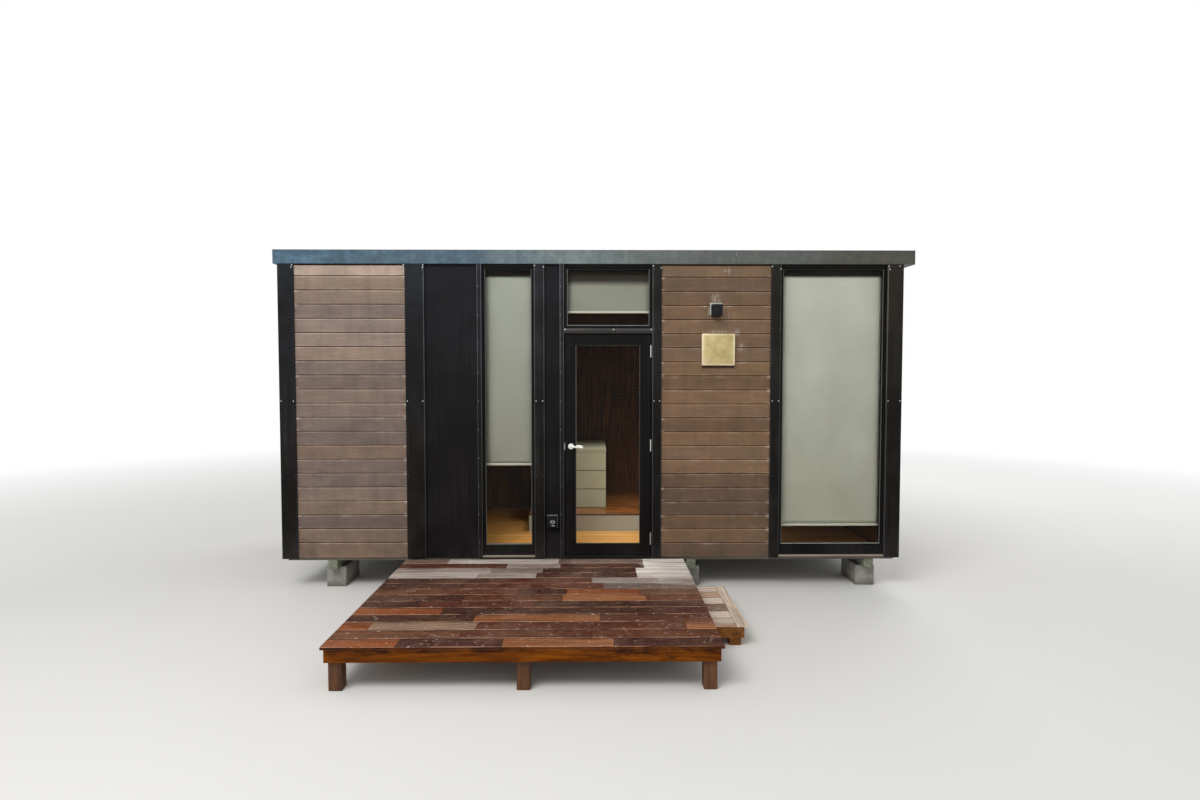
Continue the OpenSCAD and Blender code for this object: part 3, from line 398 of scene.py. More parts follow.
    # Painted shadow: the groove and the board's lowest strip are painted darker, deeper on some boards
    # than on others.
    shadow = finish.most(finish.band(up_board, 0.936, 0.944), finish.band(up_board, 0.020, 0.004))
    groove_shade_strength = finish.band(finish.chance(finish.times(board, 5.3)), 0.0, 1.0, 0.45, 1.0)
    wood = finish.mix(finish.times(shadow, groove_shade_strength), wood, finish.tint(wood, (0.22, 0.19, 0.18, 1)))
    return finish.close(wood, finish.band(pores, 0.35, 0.65, 0.6, 0.82), finish.plus(rings, pores),
                        0.0008)


GREYED = (118, 101, 90), (124, 108, 98), (158, 140, 125)
BROWNED = (111, 89, 72), (122, 97, 76), (119, 97, 77)
WATER_MARKS = [(1196, 2830, 58, 54, 0.8), (1090, 2752, 64, 8, 0.8), (1330, 2752, 90, 7, 0.6),
               (1270, 2716, 14, 56, 0.8), (1128, 2716, 14, 56, 0.8), (1219, 2512, 176, 16, 0.5),
               (1406, 2512, 34, 40, 0.8), (1320, 3090, 5, 74, 0.8), (1320, 2660, 4, 60, 0.6),
               (1440, 2360, 40, 60, 0.5), (1300, 3096, 60, 20, 0.5)]
# Painted shadows under the sign and under the wall light.
PAINTED_SHADOWS = [(1218, 2172, 156, 15, 0.8), (1196, 2652, 44, 14, 0.7)]
LEFT_PANEL, RIGHT_PANEL = (X_LEFT + CORNER_W, TRIMS["b"][0]), (TRIMS["f"][1], TRIMS["g"][0])
CLADDING = {
    "front_cladding_left": cladding("cladding_greyed", "X", GREYED, (12065, 14958), LIP_LEFT,
                                    LEFT_PANEL, (CLAD_FOOT + LIP_LEFT + 20 * COURSE) / 1000),
    "front_cladding_right": cladding("cladding_brown", "X", BROWNED, (23761, 65699),
                                     ends=RIGHT_PANEL, drips=WATER_MARKS, darkened=PAINTED_SHADOWS,
                                     spread=1.2),
    "back_cladding": cladding("cladding_back", "X", GREYED, (97, 97)),
    "side_cladding": cladding("cladding_side", "Y", GREYED, (143, 143)),
}
print("cladding panels:", len(CLADDING), "courses:", math.ceil((CLAD_HEAD - CLAD_FOOT) / COURSE))

# %% [markdown]
# ## Painted metal
# The trims, frames and fascia are folded metal with a satin powder coat. It isn't one even
# black: dust settles in faint clouds, rain draws streaks down it, and the film is glossier
# where it was rubbed. The streaks are noise stretched upright. Folded edges catch the light,
# so a softened edge gets its own slightly paler finish, as a second slot of the same piece.
# Higher up, trims and panels are painted paler, a painted reflection of the sky, bluer at the pod's left
# end and browner at its right.

# %% Painted metal finishes
DUST_GREY, DUST_BROWN = (74, 71, 70), (82, 76, 68)


def painted(name, colour, dust=DUST_GREY, rough=(0.4, 0.6), spec=0.10, amount=0.3, film_and_sheen=None):
    """Powder coat with dust in it. Its last argument, a painted sheen, is a paler band between two
    heights, in metres, that stands for the sky's reflection in the coat and, on the head strip,
    for its lit top, in one colour at the pod's left end and another at its right."""
    finish = Finish(name, Specular_IOR_Level=spec)
    dust = paint(*dust)
    cloud = finish.noise(finish.here, 2.6, 6.0, 0.6)
    streak = finish.noise(finish.stretch(26, 26, 1.1), 1.0, 5.0, 0.6)
    dirt = finish.times(finish.band(cloud, 0.4, 0.75), finish.band(streak, 0.35, 0.7))
    body = finish.mix(finish.times(dirt, amount), paint(*colour), dust)
    speck = finish.band(finish.specks(finish.here, 160.0), 0.12, 0.02, 0.0, 0.5 * amount)
    body = finish.mix(speck, body, dust)
    low = finish.times(finish.band("Z", 0.62, 0.30), finish.band(cloud, 0.3, 0.7))
    body = finish.mix(finish.times(low, amount), body, dust)
    if film_and_sheen:
        foot, head, left, right = film_and_sheen
        skin = finish.times(finish.band("Z", foot, head), finish.band(cloud, 0.35, 0.65, 0.25, 0.9))
        tone = finish.mix(finish.band("X", -1.5, 2.5), paint(*left), paint(*right))
        body = finish.mix(skin, body, tone)
    orange_peel = finish.noise(finish.here, 260.0, 2.0)
    return finish.close(body, finish.band(cloud, 0.3, 0.7, *rough),
                        finish.plus(orange_peel, streak), 0.00015)


EDGE = {"rough": (0.35, 0.5), "spec": 0.3}
# The paler band over the upper part of trims, panels and edges is painted light, the sky's reflection in
# the coat.
trim_metal = painted("trim_metal", (17, 15, 13), amount=0.36,
                     film_and_sheen=(1.5, 3.2, (37, 41, 47), (48, 44, 37)))
trim_edge = painted("trim_edge", (58, 58, 58), **EDGE, film_and_sheen=(0.9, 3.0, (104, 112, 126), (98, 93, 86)))
# Trim returns take a paler copy of the coat, a painted highlight where their sides catch the light.
trim_return = painted("trim_return", (46, 44, 42), spec=0.2,
                      film_and_sheen=(0.3, 2.2, (84, 88, 96), (92, 86, 80)))
shoulder_dim = painted("trim_shoulder_dim", (34, 34, 36), spec=0.15)
# Window sill nosings take a pale copy of the frame coat, a painted highlight where they catch the sky.
nosing_grey = painted("nosing_grey", (150, 138, 124), DUST_BROWN, (0.4, 0.55), 0.25)
# The door's head strip is painted paler over its top, a painted highlight.
strip_grey = painted("head_strip_grey", (44, 42, 41), spec=0.2,
                     film_and_sheen=(2.515, 2.552, (128, 124, 120), (128, 124, 120)))
frame_black = painted("frame_black", (11, 9, 8), amount=0.18)
frame_edge = painted("frame_edge", (40, 40, 41), **EDGE)
panel_black = painted("panel_black", (20, 18, 18), rough=(0.55, 0.75), spec=0.08, amount=0.28,
                      film_and_sheen=(1.5, 3.2, (34, 34, 40), (36, 34, 34)))
floor_steel = painted("floor_steel", (118, 112, 102), DUST_BROWN, amount=0.5)
light_black = painted("light_black", (26, 27, 30), amount=0.2)
light_plate = painted("light_plate", (176, 182, 172), spec=0.3, amount=0.1)
outlet_body = painted("outlet_body", (24, 26, 28), rough=(0.4, 0.55))
outlet_pale = painted("outlet_pale", (150, 160, 160), rough=(0.4, 0.5), spec=0.3)
bar_grey = painted("blind_bar_grey", (172, 170, 154), amount=0.1)
roof_metal = painted("roof_metal", (122, 126, 126), (92, 84, 70), spec=0.4, amount=0.8)
drawer_paint = painted("drawer_paint", (192, 189, 156), (150, 142, 114), spec=0.3, amount=0.15)
gap_dark = painted("drawer_gap_dark", (74, 62, 44), (60, 48, 34))
riser_paint = painted("riser_paint", (176, 188, 190), (150, 146, 132), spec=0.3)

matt = Finish("blind_box_black", Roughness=1.0, Specular_IOR_Level=0.0)
matt_tone = matt.band(matt.noise(matt.stretch(2, 2, 9), 1.0, 4.0), 0.3, 0.7)
box_black = matt.give(Base_Color=matt.mix(matt_tone, paint(24, 20, 16), paint(36, 30, 24)))
print("painted metals ready")

# %% [markdown]
# The fascia is the same folded metal in a slate colour. Its front is painted bluer and blotchy
# towards the left, the blue a painted reflection of the sky, and browner towards the right, so
# its tone drifts along X. The drift fades out round the corners, and the ends and the back are plain
# slate.

# %% Fascia finish
FASCIA_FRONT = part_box("roof_fascia")[0][1]


def slate(name, *tones):
    """Slate paint. The tones run along the front from its left end to its right."""
    finish = Finish(name, Specular_IOR_Level=0.3)
    tones = [paint(*tone) for tone in tones]
    dust = paint(*DUST_GREY)
    drift = finish.noise(finish.here, 0.9, 3.0)
    along = finish.plus(finish.band("X", -3.1, 3.1), finish.band(drift, 0.3, 0.7, -0.12, 0.12))
    # The bluer tones at the left are a painted reflection of the sky, on the front only.
    front = finish.ramp(along, *zip((0.0, 0.28, 0.45, 0.70, 1.0), tones))
    blots = finish.band(finish.noise(finish.stretch(1.0, 1.0, 1.8), 9.0, 4.0, 0.6), 0.42, 0.60)
    blotched = finish.vary(front, blots, (0.72, 0.74, 0.76), (1.22, 1.21, 1.20))
    front = finish.mix(finish.band(along, 0.60, 0.05, 0.15, 0.9), front, blotched)
    returned = finish.band("Y", FASCIA_FRONT + 0.02, FASCIA_FRONT + 0.30, 0.0, 0.85)
    body = finish.mix(returned, front, tones[2])
    streak = finish.noise(finish.stretch(30, 30, 2.5), 1.0, 5.0, 0.65)
    body = finish.mix(finish.band(streak, 0.5, 0.8, 0.0, 0.45), body, dust)
    mottle = finish.band(finish.noise(finish.here, 16.0, 6.0, 0.7), 0.35, 0.65)
    body = finish.vary(body, mottle, (0.80, 0.82, 0.84), (1.20, 1.18, 1.16))
    spots = finish.band(finish.specks(finish.here, 24.0), 0.14, 0.06, 0.0, 0.6)
    body = finish.mix(spots, body, dust)
    return finish.close(body, finish.band(streak, 0.3, 0.7, 0.38, 0.58),
                        finish.noise(finish.here, 240.0, 2.0), 0.00012)


fascia_metal = slate("fascia_metal", (71, 98, 116), (71, 93, 108), (110, 122, 123), (93, 97, 94),
                     (77, 76, 69))
fascia_edge = slate("fascia_edge", (104, 120, 130), (104, 118, 126), (118, 126, 126),
                    (114, 117, 113), (110, 108, 101))
print("slate ready")

# %% [markdown]
# ## Concrete, lining and the floor indoors
# The pod stands on plain grey blocks, which are full of small air holes. Indoors the walls are
# sheets of warm plywood, and the floor is narrow orange boards that run along the pod. All of
# it is seen only through glass, so the floor's joints are drawn by its finish.

# %% Concrete, plywood and floor finishes
def concrete(name):
    finish = Finish(name, Specular_IOR_Level=0.25)
    cloud = finish.noise(finish.here, 7.0, 8.0, 0.65)
    pits = finish.band(finish.specks(finish.here, 55.0), 0.05, 0.22)
    body = finish.ramp(cloud, (0.3, paint(120, 118, 112)), (0.7, paint(168, 166, 158)))
    body = finish.mix(finish.band("Z", 0.08, 0.0, 0.0, 0.6), body, paint(86, 76, 62))
    body = finish.mix(pits, paint(96, 94, 88), body)
    return finish.close(body, 0.9, finish.plus(pits, cloud), 0.003)


def indoor_boards(name, wide):
    finish = Finish(name, Specular_IOR_Level=0.4)
    across = finish.work("DIVIDE", finish.axis("Y"), wide)
    tone = finish.chance(finish.work("FLOOR", across))
    rings, pores = grain(finish, "X", shift=tone)
    wood = ringed(finish, rings, ((196, 130, 58), (220, 163, 84), (232, 188, 120)))
    wood = finish.mix(finish.band(tone, 0.0, 1.0, 0.0, 0.4), wood, paint(200, 132, 60))
    joint = finish.work("FRACT", across)
    gap = finish.times(finish.band(joint, 0.0, 0.07), finish.band(joint, 1.0, 0.95))
    wood = finish.mix(gap, paint(120, 66, 26), wood)
    return finish.close(wood, finish.band(pores, 0.3, 0.7, 0.28, 0.45), finish.plus(gap, pores),
                        0.0006)


lining = timber("plywood_lining", "Z", (56, 30, 10), (84, 46, 17), (112, 66, 28),
                rough=(0.45, 0.6), spec=0.12)
platform_top = timber("platform_top", "X", (112, 60, 20), (156, 92, 36), (190, 122, 58),
                      rough=(0.14, 0.24), spec=0.5)
# The platform's nose is painted dark, a painted shadow at the top of the riser.
platform_nose = timber("platform_nose", "X", (44, 24, 12), (62, 34, 18), (84, 50, 28),
                       rough=(0.3, 0.4))
WALLS = ("front_wall_left", "front_wall_middle", "front_wall_right", "back_wall", "left_wall",
         "right_wall")
INDOORS = {
    "floor_boards": indoor_boards("floor_boards_orange", 0.135),
    "roof_panel": timber("ceiling_lining", "X", (196, 190, 176), (208, 203, 190), (218, 214, 202)),
    **{wall: lining for wall in WALLS},
}
print("indoor finishes:", len(INDOORS) - len(WALLS) + 1)

# %% [markdown]
# ## Glass
# Sealed units are almost clear, with a faint green cast. A ray tracer would let no lamp light
# through them, so for shadow rays alone the glass turns transparent and the room behind is
# lit as it would be.

# %% Glass finish
def glass(name, tint):
    finish = Finish(name, Transmission_Weight=1.0, IOR=1.14)
    film_and_sheen = finish.noise(finish.here, 1.7, 5.0, 0.6)
    waves = finish.noise(finish.here, 2.2, 1.0)
    finish.close(tint, finish.band(film_and_sheen, 0.35, 0.8, 0.0, 0.02), waves, 0.00012)
    clear = finish.add("ShaderNodeBsdfTransparent", (0.9, 0.9, 0.88, 1))
    path = finish.add("ShaderNodeLightPath")
    finish.show(finish.tree.nodes["Material Output"], path.outputs["Is Shadow Ray"],
                finish.shader, clear)
    return finish.material


clear_glass = glass("glass_clear", (0.97, 0.975, 0.965, 1))
print("glass ready")

# %% [markdown]
# ## Bright metal
# Hinges, lever, roses and strike plate are satin stainless steel. Brushing leaves hair lines
# that spread the highlight across them, which is noise stretched along one axis feeding the
# roughness and a very shallow bump. The sign plate is a soft brass colour with the same hairs,
# painted paler along its rim, a painted highlight, and flushed at its lower left. Its bevels
# take a paler copy, a painted highlight, and its underside and ends a darker one, a painted shade.

# %% Stainless and brass finishes
def brushed(name, colour, dark_patch, rough, pull=(8, 8, 260), metal=1.0):
    finish = Finish(name, Metallic=metal)
    hairs = finish.noise(finish.stretch(*pull), 2.0, 4.0, 0.7)
    cloud = finish.noise(finish.here, 14.0, 4.0)
    body = finish.mix(finish.band(cloud, 0.4, 0.8, 0.0, 0.25), paint(*colour), paint(*dark_patch))
    return finish.close(body, finish.band(hairs, 0.3, 0.7, *rough), hairs, 0.00006)


stainless = brushed("stainless", (206, 206, 202), (150, 146, 138), (0.24, 0.4))
lever_satin = brushed("lever_satin", (246, 245, 240), (220, 216, 208), (0.35, 0.5),
                      pull=(260, 8, 8), metal=0.35)
dull_steel = brushed("dull_steel", (132, 131, 130), (96, 92, 88), (0.35, 0.5))
deck_steel = brushed("deck_screw_steel", (120, 104, 92), (70, 50, 38), (0.35, 0.55))

SIGN_MIDDLE, SIGN_HALF_WIDE, SIGN_HALF_TALL = at(1217.5, 0, 2338), 0.1595, 0.153


def sign_gold(name, colour, low):
    finish = Finish(name, Specular_IOR_Level=0.5, Metallic=0.35)
    low = paint(*low)
    hairs = finish.noise(finish.stretch(6, 6, 300), 2.0, 4.0, 0.7)
    cloud = finish.noise(finish.here, 9.0, 5.0, 0.6)
    body = finish.mix(finish.band(cloud, 0.40, 0.62, 0.0, 0.7), paint(*colour), low)
    body = finish.mix(finish.band(hairs, 0.5, 0.8, 0.0, 0.3), body, low)
    # Painted highlight: the rim is painted paler, unevenly, where the bevelled edge catches the light.
    upright = finish.band(finish.off("Z", SIGN_MIDDLE.z), SIGN_HALF_TALL - 0.026,
                          SIGN_HALF_TALL - 0.006)
    across = finish.band(finish.off("X", SIGN_MIDDLE.x), SIGN_HALF_WIDE - 0.030,
                         SIGN_HALF_WIDE - 0.006)
    uneven_highlight = finish.band(finish.noise(finish.here, 13.0, 5.0, 0.65), 0.36, 0.60, 0.15, 0.85)
    body = finish.mix(finish.times(finish.most(upright, across), uneven_highlight), body, paint(242, 226, 194))
    foot = finish.band("Z", SIGN_MIDDLE.z - 0.04, SIGN_MIDDLE.z - SIGN_HALF_TALL, 0.0, 0.8)
    left = finish.band("X", SIGN_MIDDLE.x + 0.02, SIGN_MIDDLE.x - SIGN_HALF_WIDE, 0.2, 1.0)
    flushed = finish.times(finish.times(foot, left), finish.band(cloud, 0.62, 0.40))
    body = finish.mix(flushed, body, paint(232, 204, 172))
    return finish.close(body, finish.band(hairs, 0.3, 0.7, 0.35, 0.5), finish.plus(hairs, cloud),
                        0.0003)


plate_gold = sign_gold("sign_gold", (204, 186, 132), (166, 146, 92))
# sign_edge is a lit copy for the bevels, a painted highlight, and sign_side a shaded copy for the
# underside and ends, a painted shade.
plate_edge = sign_gold("sign_edge", (240, 226, 190), (222, 204, 158))
plate_side = sign_gold("sign_side", (150, 122, 74), (110, 84, 46))
print("bright metals ready")

# %% [markdown]
# ## Parts that stay as the frame has them
# Cladding, panels, floors, glass and hinges have edges that are hidden or fine enough already.
# They keep the frame's own mesh and only take their finish.

# %% Give the frame's parts their finish
AS_THEY_ARE = {
    **CLADDING, **INDOORS, "floor_panel": floor_steel, "roof_sheet": roof_metal,
    "flat_panels": panel_black, "window_glass": clear_glass, "door_glass": clear_glass,
    "hinge_frame_halves": stainless, "hinge_door_halves": stainless, "strike_plate": stainless,
    "door_lever": lever_satin,
}
for name, material in AS_THEY_ARE.items():
    nodes[name].data.materials[0] = material
print("frame parts kept as they are:", len(AS_THEY_ARE))

# %% [markdown]
# ## Softened edges
# No real board or fold has a knife edge, and a thin bright line along each one is what makes
# a render look solid. The frame's mesh must not change, so each such part is copied, its
# loose triangles are merged into clean faces, and its sharp edges are bevelled. The copy
# then stands for the frame's part. The new narrow faces can take a finish of their own.

# %% The softening helper
def keep_piece(name, mesh, body, stands_for=()):
    """Puts a finished mesh in the scene, riding on one body."""
    piece = bpy.data.objects.new(name, mesh)
    bpy.context.scene.collection.objects.link(piece)
    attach(piece, body)
    if stands_for:
        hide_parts(*stands_for)
    return piece


def soften(node, width, face, edge=None, body="pod", slot=None, steps=1, picks=()):
    """A merged and bevelled copy of one frame part, which stands for it.
    picks are pairs of a finish and a test of a face, for a part in more than one finish."""
    mesh = nodes[node].data.copy()
    mesh.name = node + "_soft"
    shape = bmesh.new()
    shape.from_mesh(mesh)
    bmesh.ops.remove_doubles(shape, verts=shape.verts, dist=2e-5)
    bmesh.ops.dissolve_limit(shape, angle_limit=math.radians(0.6), verts=shape.verts,
                             edges=shape.edges)
    sharp = [e for e in shape.edges if len(e.link_faces) == 2
             and e.calc_face_angle() > math.radians(30)]
    bmesh.ops.bevel(shape, geom=sharp, offset=width / 1000, segments=steps, profile=0.6,
                    affect="EDGES", clamp_overlap=True, material=1 if edge else -1)
    shape.to_mesh(mesh)
    shape.free()
    mesh.materials.clear()
    mesh.materials.append(face)
    if edge:
        mesh.materials.append(edge)
    for finish, chosen in picks:
        mesh.materials.append(finish)
        for polygon in mesh.polygons:
            if chosen(polygon):
                polygon.material_index = len(mesh.materials) - 1
    mesh.shade_smooth()
    mesh.set_sharp_from_angle(angle=math.radians(28))
    slot = slot or nodes[node].data.materials[0].name
    print(f"  {node}: {len(sharp)} edges, {len(mesh.polygons)} faces")
    return keep_piece(node + "_softened", mesh, body, [node])


# %% Soften the metal parts
BY_CLADDING = [at(x, 0, 0).x for x in (*LEFT_PANEL, *RIGHT_PANEL)]


def is_shoulder(face):
    """The slanting folds along a trim's edges, and their softened corners."""
    return 0.35 < abs(face.normal.x) < 0.95 and abs(face.normal.y) > 0.3


def is_dim_edge(face):
    """The folds that meet the cladding, which keeps the light off them."""
    near = min(abs(face.center.x - x) for x in BY_CLADDING)
    return near < 0.007 and abs(face.normal.x) > 0.35


folds = [(trim_edge, is_shoulder), (shoulder_dim, is_dim_edge)]
# Trim returns take the paler coat, a painted highlight.
soften("wall_trims", 1.6, trim_metal, trim_edge,
       picks=[(trim_return, lambda f: abs(f.normal.x) > 0.95), *folds])
soften("corner_trims", 1.6, trim_metal, trim_edge,
       picks=[(trim_return, lambda f: abs(f.normal.x) > 0.95 and abs(f.center.x) < 2.95), *folds])
soften("roof_fascia", 1.5, fascia_metal, fascia_edge)
nosing_front, plate_front = at(0, CLAD_FACE - 0.5, 0).y, at(0, CLAD_FACE - 6.4, 0).y
# Sill nosings take the pale coat, a painted highlight.
for name in ("narrow_window_frame", "big_window_frame"):
    soften(name, 1.5, frame_black, frame_edge,
           picks=[(nosing_grey, lambda f: f.center.y < nosing_front and f.normal.z > -0.5)])
# The head strip's front takes the coat painted paler over its top, a painted highlight.
soften("door_frame", 1.2, frame_black, frame_edge,
       picks=[(strip_grey, lambda f: f.center.y < nosing_front and f.center.z > 2.0)])
soften("door_leaf", 1.5, frame_black, frame_edge, body="door")
soften("blind_boxes", 4, box_black, steps=2)
soften("blind_bars", 3, bar_grey, steps=2)
soften("wall_light", 1.5, light_black, steps=2,
       picks=[(light_plate, lambda f: f.center.y > plate_front)])
outlet_rim = at(-337, 0, 0).x
soften("power_outlet", 4, outlet_body, steps=2,
       picks=[(outlet_pale, lambda f: f.normal.z > 0.4 or f.center.x > outlet_rim)])
# Bevels take the painted highlight copy, and the underside and ends the painted shade copy.
soften("sign_plate", 4, plate_gold, plate_edge, steps=2,
       picks=[(plate_side, lambda f: f.normal.z < -0.5 or abs(f.normal.x) > 0.9)])
soften("handle_roses", 1.5, lever_satin, body="door", steps=2)

# %% Soften the timber, concrete and painted parts
soften("pier_blocks", 7, concrete("concrete_block"), steps=2)
soften("ground_bearers", 4, bearer_pine, steps=2)
soften("deck_joists", 2, joist_pine)
soften("deck_posts", 4, post_pine, steps=2)
soften("deck_fascia", 2, fascia_amber)
soften("step_frame", 2, step_amber, slot="step_timber")
NOSE_FOOT, NOSE_HEAD = 0.536, 0.5555
# The nose takes the dark finish, painted shadow along the riser's top.
soften("inner_platform", 2, riser_paint,
       picks=[(platform_nose, lambda f: f.center.z > NOSE_FOOT),
              (platform_top, lambda f: f.center.z > NOSE_HEAD)])
gap_front, gap_back, top_drawer = at(0, 1274.5, 0).y, at(0, 1292, 0).y, 1.2
soften("drawer_unit", 1.5, drawer_paint,
       picks=[(gap_dark, lambda f: gap_front < f.center.y < gap_back and f.center.z < top_drawer)])

# %% [markdown]
# ## Laying boards and beads with Geometry Nodes
# Deck boards, step boards and glazing beads are all the same thing to a maker: a strip of one
# section, cut to length. A tree of nodes does that once for all of them. It takes lines, gives
# each a rounded section, closes the ends and sets the finish. Each line carries its tone and a
# number for its grain, and the boards take both over. The result is kept as a plain mesh.

# %% The tool that runs a tree, and the tree that lays strips
class Tool(Nodes):
    """A Geometry Nodes tree with named inputs, which makes one mesh from another."""

    def __init__(self, name, **inputs):
        super().__init__(bpy.data.node_groups.new(name, "GeometryNodeTree"))
        self.socket("Source", "INPUT", "Geometry")
        self.named = {label: self.socket(label, "INPUT", kind) for label, kind in inputs.items()}
        self.socket("Made", "OUTPUT", "Geometry")
        self.given = self.add("NodeGroupInput").outputs

    def socket(self, label, side_shade, kind):
        face = self.tree.interface
        return face.new_socket(label, in_out=side_shade, socket_type="NodeSocket" + kind).identifier

    def end(self, node):
        self.feed(self.add("NodeGroupOutput").inputs[0], node)

    def run(self, name, source, **settings):
        """Evaluates the tree over a mesh, and returns the result as a plain mesh."""
        worker = bpy.data.objects.new(name + "_source", source)
        bpy.context.scene.collection.objects.link(worker)
        modifier = worker.modifiers.new("maker", "NODES")
        modifier.node_group = self.tree
        for label, value in settings.items():
            modifier[self.named[label]] = value
        ready = worker.evaluated_get(bpy.context.evaluated_depsgraph_get())
        mesh = bpy.data.meshes.new_from_object(ready)
        mesh.name = name
        bpy.data.objects.remove(worker)
        return mesh


def strip_tool():
    tool = Tool("lay_strips", Width="Float", Thickness="Float", Arris="Float", Finish="Material")
    given = tool.given
    path = tool.add("GeometryNodeMeshToCurve", given["Source"])
    section = tool.add("GeometryNodeCurvePrimitiveQuadrilateral", given["Width"], given["Thickness"])
    rounded = tool.add("GeometryNodeFilletCurve", section, Radius=given["Arris"], mode="POLY")
    sweep = tool.add("GeometryNodeCurveToMesh", path, rounded, Fill_Caps=True)
    real = tool.add("GeometryNodeRealizeInstances", sweep)
    tool.end(tool.add("GeometryNodeSetMaterial", real, Material=given["Finish"]))
    return tool


STRIPS = strip_tool()


def lay(name, strips, width, thick, arris, finish, body="pod", stands_for=()):
    """Lays strips, each from one point to another, with a tone and a number for its grain."""
    points, lines, tones, grains = [], [], [], []
    for start, end, tone, number in strips:
        lines.append((len(points), len(points) + 1))
        points += [start, end]
        tones += [*tone, *tone]
        grains += [number, number]
    source = bpy.data.meshes.new(name + "_lines")
    source.from_pydata(points, lines, [])
    source.attributes.new("tone", "FLOAT_COLOR", "POINT").data.foreach_set("color", tones)
    source.attributes.new("grain", "FLOAT", "POINT").data.foreach_set("value", grains)
    mesh = STRIPS.run(name, source, Width=width / 1000, Thickness=thick / 1000,
                      Arris=arris / 1000, Finish=finish)
    mesh.shade_flat()
    print(f"  {name}: {len(strips)} strips, {len(mesh.polygons)} faces")
    return keep_piece(name, mesh, body, stands_for)


# %% [markdown]
# ## The deck
# The deck is reclaimed hardwood in short lengths, wet from rain: most boards are a dark red
# brown, and some are orange, tan or silvered. Each row below lists its boards from the left
# end, as the far end of the board in millimetres and its tone, and how dry it is where the
# eaves shelter it. Water pools in flat spots, and there the board is darker and shiny.

# %% Deck board finish
DRY_WOOD, DRY_LIGHT = paint(221, 210, 199), paint(250, 244, 236)
FINE_STREAKS = {"X": (2.5, 40, 40), "Y": (40, 2.5, 40)}


def dry_by_the_wall(finish, number, rings):
    """How dry the wood is, and its dry colour. The eaves keep rain off the last rows, most of
    all in the right corner, and each board carries how dry it is."""
    frayed = finish.noise(finish.stretch(3, 12, 12, shift=number), 1.6, 5.0)
    frayed = finish.band(frayed, 0.3, 0.7, -0.10, 0.10)
    patchy = finish.noise(finish.stretch(1.5, 14, 14, shift=number), 1.5, 5.0)
    patchy = finish.band(patchy, 0.30, 0.55, 0.35, 1.0)
    x, y = finish.plus(finish.axis("X"), frayed), finish.plus(finish.axis("Y"), frayed)
    corner = finish.times(finish.band(x, 0.42, 0.56), finish.band(y, -1.10, -0.70, 0.0, 0.8))
    dry = finish.most(finish.times(finish.own("tone", "Alpha"), patchy),
                      finish.times(corner, patchy))
    return dry, finish.mix(finish.band(rings, 0.3, 0.7), DRY_WOOD, DRY_LIGHT)


def decking(name, along, wet_rough=0.5, dry_rough=0.7, spec=0.2, rows=None, sheltered=False):
    """Boards with their own tone. rows are the first edge, the pitch and the width, in metres,
    of boards whose arrises take a painted highlight and whose far edges a painted shade."""
    finish = Finish(name, Specular_IOR_Level=spec)
    number = finish.own("grain")
    rings, pores = grain(finish, along, shift=number)
    tone = finish.own("tone", "Color")
    light = finish.tint(tone, (1.5, 1.4, 1.3, 1))
    dark = finish.tint(tone, (0.50, 0.42, 0.40, 1))
    wood = finish.mix(finish.band(rings, 0.32, 0.68), dark, light)
    wood = finish.mix(finish.band(pores, 0.5, 0.75, 0.0, 0.55), wood, dark)
    wet = finish.band(finish.noise(finish.here, 2.4, 5.0, 0.6), 0.38, 0.52)
    wood = finish.mix(wet, finish.mix(0.22, wood, paint(140, 110, 92)), wood)
    # The pale streaks and specks below are partly grain, leaf litter and grit, and partly painted glints
    # of the wet wood.
    fine = finish.noise(finish.stretch(*FINE_STREAKS[along], shift=number), 6.0, 4.0, 0.7)
    wood = finish.mix(finish.band(fine, 0.52, 0.72, 0.0, 0.55), wood, paint(178, 140, 116))
    strewn = finish.ragged(finish.stretch(0.5, 1.0, 1.0), 45.0, 0.020)
    flecks = finish.times(finish.band(finish.specks(strewn, 36.0), 0.26, 0.10),
                          finish.band(finish.noise(finish.here, 38.0, 1.0), 0.46, 0.60))
    small_specks = finish.times(finish.band(finish.specks(strewn, 110.0), 0.26, 0.12, 0.0, 0.7),
                          finish.band(finish.noise(finish.here, 90.0, 1.0), 0.42, 0.58))
    patchy = finish.band(finish.noise(finish.here, 7.0, 3.0), 0.36, 0.58, 0.15, 0.9)
    litter_and_glints = finish.times(finish.most(flecks, small_specks), patchy)
    wood = finish.mix(litter_and_glints, wood, paint(232, 214, 194))
    if rows:
        first, pitch, width = rows
        from_first = finish.work("SUBTRACT", finish.axis("Y"), first)
        across = finish.work("FRACT", finish.work("DIVIDE", from_first, pitch))
        # Painted highlight on each board's near arris, and painted shade along its far edge by the gap.
        highlight_breakup = finish.noise(finish.stretch(2.2, 2.2, 2.2, shift=number), 2.0, 3.0)
        uneven_highlight = finish.times(finish.band(across, 0.060, 0.020), finish.band(highlight_breakup, 0.40, 0.62))
        wood = finish.mix(finish.times(uneven_highlight, 0.75), wood, paint(184, 140, 112))
        far_edge_shade = finish.band(across, width / pitch - 0.13, width / pitch - 0.03)
        wood = finish.mix(far_edge_shade, wood, finish.tint(wood, (0.30, 0.25, 0.25, 1)))
    if sheltered:
        dry, silvered = dry_by_the_wall(finish, number, rings)
        wood = finish.mix(finish.times(dry, 0.95), wood, silvered)
        wet = finish.work("SUBTRACT", wet, dry)
    return finish.close(wood, finish.band(wet, 0.0, 1.0, dry_rough, wet_rough),
                        finish.plus(rings, pores), 0.0012)


